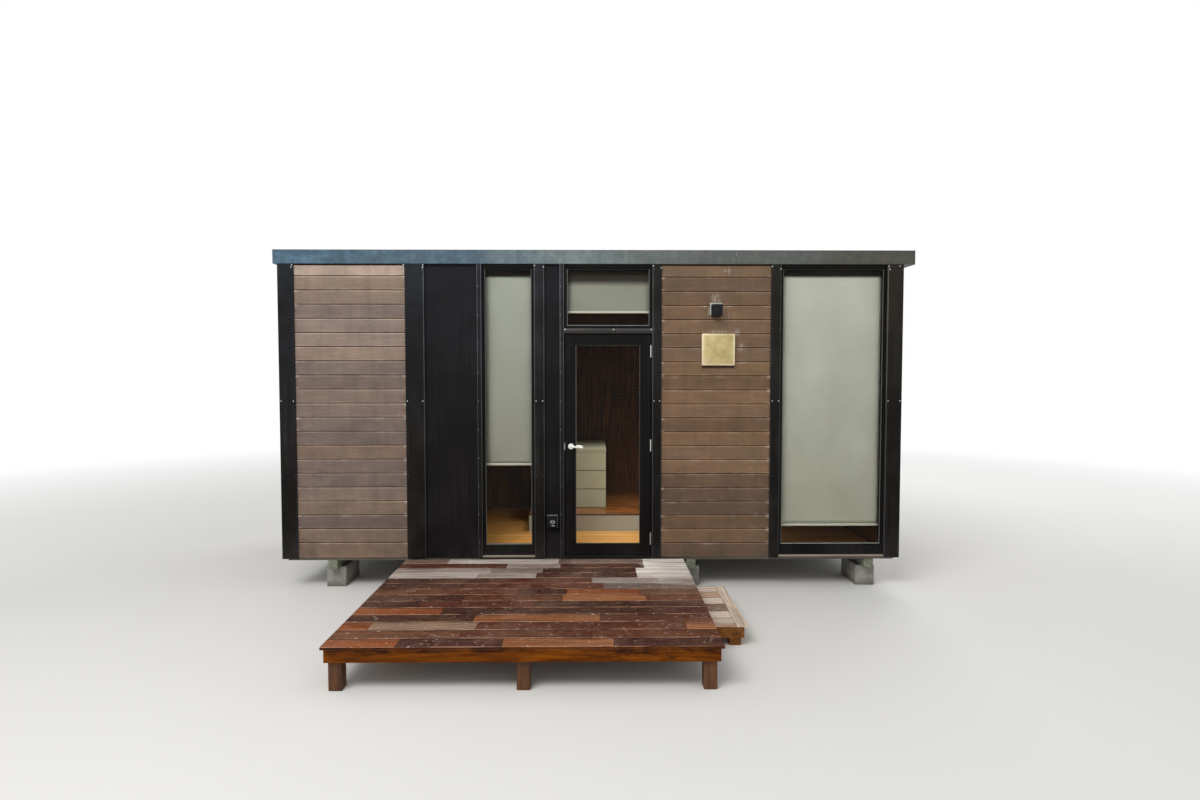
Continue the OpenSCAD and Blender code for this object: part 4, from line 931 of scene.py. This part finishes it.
# %% Deck boards, row by row from the front
ORANGE, TAN, SILVER = (142, 78, 40), (148, 96, 60), (144, 120, 102)
DARK, RED, PURPLE, BROWN = (62, 34, 26), (84, 42, 30), (70, 40, 36), (92, 52, 35)
PALE, WORN_BROWN = (108, 80, 62), (108, 70, 52)
DECK_ROWS = [
    [(494, ORANGE), (1199, PURPLE), (1949, TAN), (2687, PURPLE)],
    [(889, WORN_BROWN), (1799, BROWN), (2687, BROWN)],
    [(209, ORANGE), (974, SILVER), (2474, RED), (2687, TAN)],
    [(929, DARK), (1859, TAN), (2687, RED)],
    [(659, ORANGE), (2249, DARK), (2687, PURPLE)],
    [(450, DARK), (1350, RED), (2100, DARK), (2687, PURPLE)],
    [(764, DARK), (1559, BROWN), (2234, TAN), (2687, BROWN)],
    [(1199, BROWN), (1589, DARK), (2189, ORANGE), (2687, PALE)],
    [(700, DARK), (1900, RED), (2687, DARK, 0.15)],
    [(900, DARK), (1800, RED), (2687, PURPLE, 0.3)],
    [(780, BROWN, 0.6), (1300, BROWN, 0.4), (2200, DARK), (2687, PALE, 0.65)],
    [(880, BROWN, 0.45), (1350, PALE, 0.2), (2200, DARK), (2687, PALE, 0.9)],
    [(1000, RED), (1500, BROWN, 0.35), (2284, DARK), (2687, PALE, 1.0)],
    [(420, BROWN, 0.15), (1479, BROWN, 0.65), (2284, DARK, 0.1), (2687, PALE, 1.0)],
]
ROW_PITCH, ROW_WIDE, BUTT, BOARD_ARRIS = 153.0, 147.0, 3.0, 2.5
chooser = random.Random(7)


def toned(colour, dry=0.0):
    """A tone near the given one, as boards of one kind differ, and how dry the board is."""
    shade = 1 + chooser.uniform(-0.10, 0.10)
    return [c * shade for c in paint(*colour)[:3]] + [dry]


deck_strips = []
z = Z_DECK - BOARD_THICK / 2
for row, boards in enumerate(DECK_ROWS):
    begin = 0.0
    y = DECK_FRONT + row * ROW_PITCH + ROW_WIDE / 2
    for end, colour, *dry in boards:
        left = DECK_LEFT + begin + (BUTT if begin else 0)
        deck_strips.append((at(left, y, z), at(DECK_LEFT + end, y, z), toned(colour, *dry),
                            chooser.uniform(0, 9)))
        begin = end
wet_decking = decking("decking_wet", "X", 0.34, 0.6, 0.16, sheltered=True,
                      rows=(at(0, DECK_FRONT, 0).y, ROW_PITCH / 1000, ROW_WIDE / 1000))
deck = lay("deck_boards_laid", deck_strips, ROW_WIDE, BOARD_THICK, BOARD_ARRIS, wet_decking,
           stands_for=["deck_boards"])
# The front row's end faces take the darker board end finish, painted shadow under the arris.
deck.data.materials.append(board_end_stain)
front_edge = at(0, DECK_FRONT + 1, 0).y
for polygon in deck.data.polygons:
    if polygon.normal.y < -0.9 and polygon.center.y < front_edge:
        polygon.material_index = 1

# %% Step boards, and the edge board along their right side
STEP_TONES = [(206, 194, 182), (220, 210, 198), (144, 124, 112), (224, 214, 202), (192, 168, 146),
              (228, 218, 208)]
STEP_FRONT, STEP_BACK, STEP_PITCH, STEP_WIDE = -1395, -435, 161, 155
STEP_LEFT, STEP_RIGHT, EDGE_MIDDLE, EDGE_WIDE = 889, 1115, 1163.5, 85
z = Z_STEP - BOARD_THICK / 2
step_strips = []
for i, colour in enumerate(STEP_TONES):
    y = STEP_FRONT + i * STEP_PITCH + STEP_WIDE / 2
    step_strips.append((at(STEP_LEFT, y, z), at(STEP_RIGHT, y, z), toned(colour),
                        chooser.uniform(0, 9)))
dry_decking = decking("decking_dry", "X", rows=(at(0, STEP_FRONT, 0).y, STEP_PITCH / 1000,
                                                STEP_WIDE / 1000))
lay("step_boards_laid", step_strips, STEP_WIDE, BOARD_THICK, BOARD_ARRIS, dry_decking,
    stands_for=["step_boards"])
edge_line = [(at(EDGE_MIDDLE, STEP_FRONT, z), at(EDGE_MIDDLE, STEP_BACK, z),
              toned((214, 202, 188)), 4.2)]
lay("step_edge_board", edge_line, EDGE_WIDE, BOARD_THICK, BOARD_ARRIS,
    decking("decking_edge", "Y"))

# %% [markdown]
# ## Glazing beads
# A thin grey gasket runs round each sheet of glass, and it is what draws the window's outline
# from a distance. Its four sides are strips, butted at the corners and standing on the glass.

# %% Beads round each sheet of glass
def gasket(name, colour, toned_sides=True):
    finish = Finish(name, Specular_IOR_Level=0.35)
    cloud = finish.noise(finish.here, 40.0, 4.0)
    body = finish.mix(finish.band(cloud, 0.35, 0.75, 0.0, 0.4), paint(*colour), paint(*DUST_GREY))
    if toned_sides:
        body = finish.tint(body, finish.own("tone", "Color"))
    return finish.close(body, finish.band(cloud, 0.3, 0.7, 0.45, 0.65), cloud, 0.0002)


bead_grey = gasket("bead_grey", (190, 192, 184))
SHOW, Z_GLASS, Z_GLASS_TOP, Z_TRANSOM, BEAD = 28, 440, 3115, 2568, 6
WINDOW_GLASS, DOOR_GLASS = 45, 32
LEAF_OPENING = (-157, 466, 447, 2382)


def bead_lines(x0, x1, z0, z1, glass_face, tones):
    """The four sides of a bead inside an opening. tones say how pale the foot, head, left and
    right are, as painted light: the sky-facing foot is painted brightest and the shaded head darkest."""
    h, y = BEAD / 2, glass_face - BEAD / 2
    lines = [(at(x0, y, z0 + h), at(x1, y, z0 + h)), (at(x0, y, z1 - h), at(x1, y, z1 - h)),
             (at(x0 + h, y, z0 + BEAD), at(x0 + h, y, z1 - BEAD)),
             (at(x1 - h, y, z0 + BEAD), at(x1 - h, y, z1 - BEAD))]
    return [(a, b, (tone, tone, tone, 1.0), 0.0) for (a, b), tone in zip(lines, tones)]


# Bead tones are painted light and shade: bright foot, dark head, dim sides.
pod_beads = []
for bay, low, tones in ((NARROW_BAY, Z_GLASS, (0.70, 0.03, 0.26, 0.26)),
                        (BIG_BAY, Z_GLASS, (0.90, 0.03, 0.24, 0.26)),
                        (DOOR_BAY, Z_TRANSOM, (0.62, 0.04, 0.40, 0.40))):
    pod_beads += bead_lines(bay[0] + SHOW, bay[1] - SHOW, low, Z_GLASS_TOP, WINDOW_GLASS, tones)
lay("window_beads", pod_beads, BEAD, BEAD, 1.0, bead_grey)
# The door's bead tones are painted light and shade too, all of them dim.
door_beads = bead_lines(*LEAF_OPENING, DOOR_GLASS, (0.10, 0.04, 0.22, 0.12))
lay("door_beads", door_beads, BEAD, BEAD, 1.0, bead_grey, body="door")

# %% [markdown]
# ## Fixings
# Screws, rivets and dabs of sealant hold the pod together and show how it was made. One tree
# sets a low dome with a small centre mark on every point that it is given, facing the way that
# it is told. Each dome has only a few dozen faces, because there are hundreds.

# %% The tree that sets fixings
def fixing_tool():
    tool = Tool("set_fixings", Radius="Float", Height="Float", Mark="Float", Facing="Vector",
                Finish="Material", Centre="Material")
    given = tool.given
    size = tool.add("ShaderNodeCombineXYZ", given["Radius"], given["Radius"], given["Height"])
    share = tool.add("ShaderNodeCombineXYZ", given["Mark"], given["Mark"], 1.12)
    mark_size = tool.add("ShaderNodeVectorMath", size, share, operation="MULTIPLY")
    both = tool.add("GeometryNodeJoinGeometry")
    for segments, rings, extent, finish in ((10, 5, size, "Finish"), (6, 3, mark_size, "Centre")):
        dome = tool.add("GeometryNodeMeshUVSphere", segments, rings, 1.0)
        coat = tool.add("GeometryNodeSetMaterial", dome, Material=given[finish])
        tool.feed(both.inputs[0], tool.add("GeometryNodeInstanceOnPoints", given["Source"],
                                           Instance=coat, Rotation=given["Facing"], Scale=extent))
    tool.end(tool.add("GeometryNodeRealizeInstances", both))
    return tool


FIXINGS = fixing_tool()
FORWARD, BACKWARD, UPWARD = (math.pi / 2, 0, 0), (-math.pi / 2, 0, 0), (0, 0, 0)
LEFTWARD, RIGHTWARD = (0, -math.pi / 2, 0), (0, math.pi / 2, 0)


def set_fixings(name, points, radius, height, finish, mark_finish, mark=0.35, facing=FORWARD):
    """Sets one dome on each point, in millimetres on the drawing."""
    source = bpy.data.meshes.new(name + "_points")
    source.from_pydata([at(*p) for p in points], [], [])
    mesh = FIXINGS.run(name, source, Radius=radius / 1000, Height=height / 1000, Mark=mark,
                       Facing=facing, Finish=finish, Centre=mark_finish)
    mesh.shade_smooth()
    print(f"  {name}: {len(points)} fixings, {len(mesh.polygons)} faces")
    return keep_piece(name, mesh, "pod")


# %% Rivets in the trims
MIDDLE_RIVET, RIVET_PITCH, RIVET_IN = 1842, 275, 17
NARROW_TRIM, EDGE_IN = 60, 10
RIVET_LEVELS = [392, 1117, MIDDLE_RIVET, 2540, 3098]
PROUD = 0.2
bright_rivets, painted_rivets, edge_rivets = [], [], []
front_trims = [*TRIMS.values(), (X_LEFT, X_LEFT + CORNER_W), (X_RIGHT - CORNER_W, X_RIGHT)]
for x0, x1 in front_trims:
    if x1 - x0 < NARROW_TRIM:
        edge_rivets += [(x0 + EDGE_IN, -PROUD, MIDDLE_RIVET + i * RIVET_PITCH) for i in range(-5, 5)]
        continue
    for x in (x0 + RIVET_IN, x1 - RIVET_IN):
        bright_rivets.append((x, -PROUD, MIDDLE_RIVET))
        painted_rivets += [(x, -PROUD, z) for z in RIVET_LEVELS if z != MIDDLE_RIVET]
set_fixings("front_rivets", bright_rivets, 6.5, 2.4, stainless, dull_steel)
set_fixings("front_rivets_painted", painted_rivets, 5.5, 2.2, trim_return, trim_metal)
set_fixings("edge_rivets", edge_rivets, 5.0, 2.0, dull_steel, trim_metal)
BACK_TRIMS = [(-1048.5, -951.5), (951.5, 1048.5), (X_LEFT, X_LEFT + CORNER_W),
              (X_RIGHT - CORNER_W, X_RIGHT)]
back_rivets = [(x, Y_BACK + PROUD, z) for x0, x1 in BACK_TRIMS for x in (x0 + RIVET_IN, x1 - RIVET_IN)
               for z in RIVET_LEVELS]
END_TRIMS = (RIVET_IN, CORNER_W - RIVET_IN, Y_BACK - CORNER_W + RIVET_IN, Y_BACK - RIVET_IN)
left_rivets, right_rivets = ([(x, y, z) for y in END_TRIMS for z in RIVET_LEVELS]
                             for x in (X_LEFT - PROUD, X_RIGHT + PROUD))
for name, points, facing in (("back_rivets", back_rivets, BACKWARD),
                             ("left_rivets", left_rivets, LEFTWARD),
                             ("right_rivets", right_rivets, RIGHTWARD)):
    set_fixings(name, points, 5.5, 2.2, dull_steel, trim_metal, facing=facing)

# %% Sealant dabs, head strip screws, deck screws and roof screws
sealant = gasket("sealant", (214, 220, 222), toned_sides=False)
FRONT_DABS = [(-1614, 3142), (-1616, 3121), (1731, 3134), (1815, 3110), (2856, 3136), (2866, 3108),
              (2962, 3138), (-550, 3140), (-463, 3126), (588, 3138), (665, 3120), (-2858, 3142),
              (-2866, 3122)]
DAB_PROUD, SCREW_SUNK, SCREW_IN, BUTT_CLEAR = 0.3, 0.4, 26, 9
dabs = [(x, -DAB_PROUD, z) for x, z in FRONT_DABS]
dabs += [(-2110, CLAD_FACE - DAB_PROUD, 3136), (-1798, -DAB_PROUD, 3144)]
set_fixings("sealant_dabs", dabs, 6.5, 3.0, sealant, sealant)
STRIP_FACE, STRIP_LEVEL = 9.6, 2530
strip_screws = [(x, STRIP_FACE, STRIP_LEVEL) for x in (-258, 208, 572)]
set_fixings("head_strip_screws", strip_screws, 8.0, 2.8, stainless, dull_steel)
FIRST_JOIST, JOIST_PITCH, JOIST_HALF = -1753, 425, 22.5
JOIST_LINES = [FIRST_JOIST + JOIST_PITCH * i + JOIST_HALF for i in range(7)]
deck_screws = []
for row, boards in enumerate(DECK_ROWS):
    y = DECK_FRONT + row * ROW_PITCH
    for x in JOIST_LINES:
        near = min(abs(x - DECK_LEFT - end) for end, *_ in boards)
        if near > BUTT_CLEAR:
            deck_screws += [(x + chooser.uniform(-3, 3), y + off + chooser.uniform(-2, 2),
                             Z_DECK - SCREW_SUNK) for off in (SCREW_IN, ROW_WIDE - SCREW_IN)]
set_fixings("deck_screws", deck_screws, 4.6, 1.0, deck_steel, panel_black, mark=0.45,
            facing=UPWARD)
sheet = nodes["roof_sheet"].data
skin = BVHTree.FromPolygons([v.co for v in sheet.vertices], [p.vertices for p in sheet.polygons])
RIB_N, SHEET_IN, SHEET_WIDE = 30, 42, 5916
sheet_screws = []
for i in range(RIB_N):
    for y in (160, 1200, 2240):
        above = at(X_LEFT + SHEET_IN + SHEET_WIDE / RIB_N * (i + 0.5), y, 4000)
        hit = skin.ray_cast(above, Vector((0, 0, -1)))[0]
        sheet_screws.append((hit.x * 1000 + X_MIDDLE, y, hit.z * 1000 - 0.3))
set_fixings("sheet_screws", sheet_screws, 7.0, 4.0, dull_steel, box_black, mark=0.55,
            facing=UPWARD)
print("rib tops:", round(min(s[2] for s in sheet_screws)), "to",
      round(max(s[2] for s in sheet_screws)), "mm high")

# %% [markdown]
# ## Blinds
# Behind each tall window and over the door hangs a roller blind of pale woven cloth. It is
# one sheet, pulled nearly flat by the bar in its hem, so it only cups a little between its
# edges and waves faintly across. A thin grid with that shape is enough. The weave, and where the
# cloth is lighter or in the head box's shade, come from its finish.
# Its sides are painted darker too, a painted shade from the reveals.

# %% Blind cloth finish
SIDE_GAP, HEAD_SHADE = 20, paint(40, 32, 25)


def blind_cloth(name, bay, low, high, shade):
    """Woven cloth in a bay, with its tone at the foot of the blind and at its head. shade is
    where the head box's shadow begins and where it is full, in metres."""
    finish = Finish(name, Specular_IOR_Level=0.2)
    warp, weft = (finish.work("SINE", finish.times(finish.axis(letter), 2600.0)) for letter in "XZ")
    slub = finish.noise(finish.stretch(3, 3, 260), 1.0, 3.0)
    cloud = finish.noise(finish.here, 1.3, 4.0)
    rise = finish.plus(finish.band("Z", 0.6, 3.0), finish.band(cloud, 0.3, 0.7, -0.15, 0.15))
    body = finish.mix(finish.band(rise, 0.0, 1.0), paint(*low), paint(*high))
    body = finish.vary(body, finish.band(slub, 0.4, 0.7), (0.95, 0.95, 0.95), (1.04, 1.04, 1.04))
    glow = finish.noise(finish.stretch(1.6, 1.6, 0.9), 1.4, 6.0, 0.62)
    body = finish.vary(body, finish.band(glow, 0.3, 0.7), (0.90, 0.905, 0.90), (1.08, 1.08, 1.09))
    middle, half = at(sum(bay) / 2, 0, 0).x, (bay[1] - bay[0] - 2 * SIDE_GAP) / 2000
    # Painted shade: the cloth is painted darker near its sides, where the reveals keep the light off.
    side_shade = finish.band(finish.off("X", middle), half - 0.055, half - 0.005, 0.0, 0.35)
    body = finish.mix(side_shade, body, HEAD_SHADE)
    body = finish.mix(finish.band("Z", *shade), body, HEAD_SHADE)
    return finish.close(body, 0.85, finish.plus(finish.times(warp, weft), slub), 0.0002)


# %% The blinds
HEAD, HEM, CLOTH_Y, ACROSS, DOWN = 3068, 20, 112.0, 40, 60
CUP, WAVE = 2.0, 0.8


def hang_blind(name, bay, bottom, cloth_finish):
    """One blind, 0.8 mm thick, from its head box down to its hem bar."""
    left, right, low = bay[0] + SIDE_GAP, bay[1] - SIDE_GAP, bottom + HEM
    points = []
    for j in range(DOWN + 1):
        for i in range(ACROSS + 1):
            u, v = i / ACROSS, j / DOWN
            cup = CUP * (2 * u - 1) ** 2 * math.sin(math.pi * v)
            wave = WAVE * math.sin(9 * u + 3 * v) * math.sin(math.pi * v)
            points.append(at(left + (right - left) * u, CLOTH_Y + cup + wave,
                             low + (HEAD - low) * v))
    wide = ACROSS + 1
    faces = [(j * wide + i, j * wide + i + 1, (j + 1) * wide + i + 1, (j + 1) * wide + i)
             for j in range(DOWN) for i in range(ACROSS)]
    mesh = bpy.data.meshes.new(name)
    mesh.from_pydata(points, [], faces)
    mesh.materials.append(cloth_finish)
    mesh.shade_smooth()
    piece = keep_piece(name, mesh, "pod", ["blind_cloths"])
    thick = piece.modifiers.new("cloth", "SOLIDIFY")
    thick.thickness = 0.0008
    thick.offset = 0.0


for window, bay, bottom, low, high, shade in (
        ("narrow", NARROW_BAY, 1206, (121, 119, 104), (138, 141, 131), (3.030, 3.052)),
        ("big", BIG_BAY, 601, (148, 147, 131), (166, 168, 155), (3.034, 3.058)),
        ("transom", DOOR_BAY, 2694, (114, 116, 102), (122, 124, 111), (2.950, 3.010))):
    hang_blind(window + "_blind", bay, bottom, blind_cloth(window + "_weave", bay, low, high, shade))

# %% [markdown]
# ## Small fittings
# The wall light is an open box with an opal lens up inside it, the door has a bright plate on
# its edge where the latch comes out, and the outlet has a socket and a latch under its lid.
# All are plates with round corners.

# %% A rounded plate, for all of them
def rounded_plate(name, centre, wide, tall, thick, radius, normal, finish, body="pod"):
    """A plate with round corners and a softened rim, which faces along X, forwards (Y) or
    along Z."""
    ring, steps = [], 6
    for corner, (sx, sy) in enumerate(((1, 1), (-1, 1), (-1, -1), (1, -1))):
        for step in range(steps + 1):
            turn = math.pi / 2 * (corner + step / steps)
            ring.append((sx * (wide / 2 - radius) + radius * math.cos(turn),
                         sy * (tall / 2 - radius) + radius * math.sin(turn)))
    shape = bmesh.new()
    cx, cy, cz = centre
    rims = []
    for depth, scale in ((0, 1.0), (thick * 0.7, 1.0), (thick, 0.93)):
        corners = []
        for a, b in ring:
            a, b = a * scale, b * scale
            point = {"X": (cx + depth, cy + a, cz + b), "Y": (cx + a, cy - depth, cz + b),
                     "Z": (cx + a, cy + b, cz + depth)}[normal]
            corners.append(shape.verts.new(at(*point)))
        rims.append(corners)
    for low, high in zip(rims, rims[1:]):
        for i in range(len(ring)):
            k = (i + 1) % len(ring)
            shape.faces.new((low[i], low[k], high[k], high[i]))
    shape.faces.new(rims[0][::-1])
    shape.faces.new(rims[-1])
    bmesh.ops.recalc_face_normals(shape, faces=shape.faces)
    mesh = bpy.data.meshes.new(name)
    shape.to_mesh(mesh)
    shape.free()
    mesh.materials.append(finish)
    return keep_piece(name, mesh, body)


def opal(name):
    finish = Finish(name, Specular_IOR_Level=0.5, Subsurface_Weight=0.3)
    cloud = finish.noise(finish.here, 30.0, 3.0)
    body = finish.ramp(cloud, (0.3, paint(224, 224, 214)), (0.7, paint(238, 238, 230)))
    return finish.give(Base_Color=body, Roughness=finish.band(cloud, 0.3, 0.7, 0.3, 0.45))


rounded_plate("light_lens", (1196, -22, 2696), 74, 72, 6, 18, "Z", opal("opal_lens"))
rounded_plate("latch_plate", (-258.2, 44, 1401), 22, 96, 1.6, 8, "X", stainless,
              body="door")
OUTLET_DEEP = 52
OUTLET_FACE = PANEL_FACE - OUTLET_DEEP
rounded_plate("outlet_socket", (-381, OUTLET_FACE, 671), 46, 28, 5, 12, "Y", outlet_pale)
rounded_plate("outlet_socket_mouth", (-381, OUTLET_FACE - 4.6, 672), 26, 12, 1.2, 5, "Y",
              box_black)
rounded_plate("outlet_latch", (-376, OUTLET_FACE, 637), 30, 12, 7, 4, "Y", outlet_pale)
print("fittings: lens, latch plate, outlet's socket and latch")

# %% [markdown]
# ## Floor, light and camera
# The pod stands on a plain pale floor that fades to white far from it, under a white sky for
# the camera and a softer one for the light. One broad lamp from the upper left front gives
# the folds and boards their shape, another lights the back, and a small one hangs in the
# room. The camera stands where the picture was taken: 6.6 m in front of the pod and 2.1 m above
# the ground, with a wide lens that looks down a little.

# %% The floor
def seen_plainly(tree):
    """1 for rays of the camera, of a gloss and through glass, and 0 for the light's own."""
    path = tree.add("ShaderNodeLightPath").outputs
    seen = tree.most(path["Is Camera Ray"], path["Is Glossy Ray"])
    return tree.most(seen, path["Is Transmission Ray"])


def pale_floor(name):
    finish = Finish(name, Roughness=0.9, Specular_IOR_Level=0.1)
    cloud = finish.noise(finish.here, 0.5, 2.0)
    body = finish.ramp(cloud, (0.3, paint(231, 229, 225)), (0.7, paint(233, 231, 227)))
    finish.give(Base_Color=body)
    away = finish.add("ShaderNodeVectorMath", finish.here, operation="LENGTH").outputs["Value"]
    far = finish.times(finish.band(away, 5.5, 15.0), seen_plainly(finish))
    finish.show(finish.tree.nodes["Material Output"], far, finish.shader,
                finish.add("ShaderNodeEmission"))
    return finish.material


REACH, FLOOR_Z = 60.0, -0.001
floor_mesh = bpy.data.meshes.new("studio_floor")
floor_mesh.from_pydata([(x * REACH, y * REACH, FLOOR_Z) for x, y in ((-1, -1), (1, -1), (1, 1), (-1, 1))],
                       [], [(0, 1, 2, 3)])
floor_mesh.materials.append(pale_floor("pale_floor"))
studio_floor = bpy.data.objects.new("studio_floor", floor_mesh)
bpy.context.scene.collection.objects.link(studio_floor)
print("floor:", 2 * REACH, "m wide")

# %% The sky and the lamps
SKY_LIGHT = 0.60
world = bpy.data.worlds.new("studio_sky")
bpy.context.scene.world = world
world.use_nodes = True
sky = Nodes(world.node_tree)
sky.tree.nodes.clear()
lit = sky.add("ShaderNodeBackground", (0.97, 0.99, 1.0, 1), SKY_LIGHT)
white = sky.add("ShaderNodeBackground", (1, 1, 1, 1), 1.0)
sky.show(sky.add("ShaderNodeOutputWorld"), seen_plainly(sky), lit, white)


def lamp(name, place, watts, wide, high):
    """A soft lamp that shines straight down, until it is turned."""
    data = bpy.data.lights.new(name, "AREA")
    data.energy = watts
    data.shape = "RECTANGLE"
    data.size, data.size_y = wide, high
    made = bpy.data.objects.new(name, data)
    made.location = place
    bpy.context.scene.collection.objects.link(made)
    return made


POD_MIDDLE = Vector((0.2, 0.0, 1.2))
for name, place, watts, high in (("front_lamp", (-3.4, -7.0, 8.4), 560, 3.5),
                                 ("back_lamp", (6.0, 8.0, 7.0), 340, 4.0)):
    broad = lamp(name, place, watts, 6.0, high)
    aim = POD_MIDDLE - broad.location
    broad.rotation_euler = aim.to_track_quat("-Z", "Y").to_euler()
room_lamp = lamp("room_lamp", at(180, 640, 2900), 7, 0.5, 0.5)
room_lamp.data.spread = math.radians(80)

# %% The camera
camera_data = bpy.data.cameras.new("front_camera")
camera_data.sensor_width = 36.0
camera_data.sensor_fit = "HORIZONTAL"
camera_data.lens = 20.688
camera_data.clip_end = 200.0
camera = bpy.data.objects.new("front_camera", camera_data)
LOOK_DOWN, TURNED = 0.0411, -0.0102
camera.location = (-0.0231, -6.7984, 2.1255)
camera.rotation_euler = (math.pi / 2 - LOOK_DOWN, 0.0, TURNED)
bpy.context.scene.collection.objects.link(camera)
bpy.context.scene.camera = camera
bpy.context.scene.view_settings.view_transform = "Standard"
print("sky light:", SKY_LIGHT, "lens:", camera_data.lens, "mm")
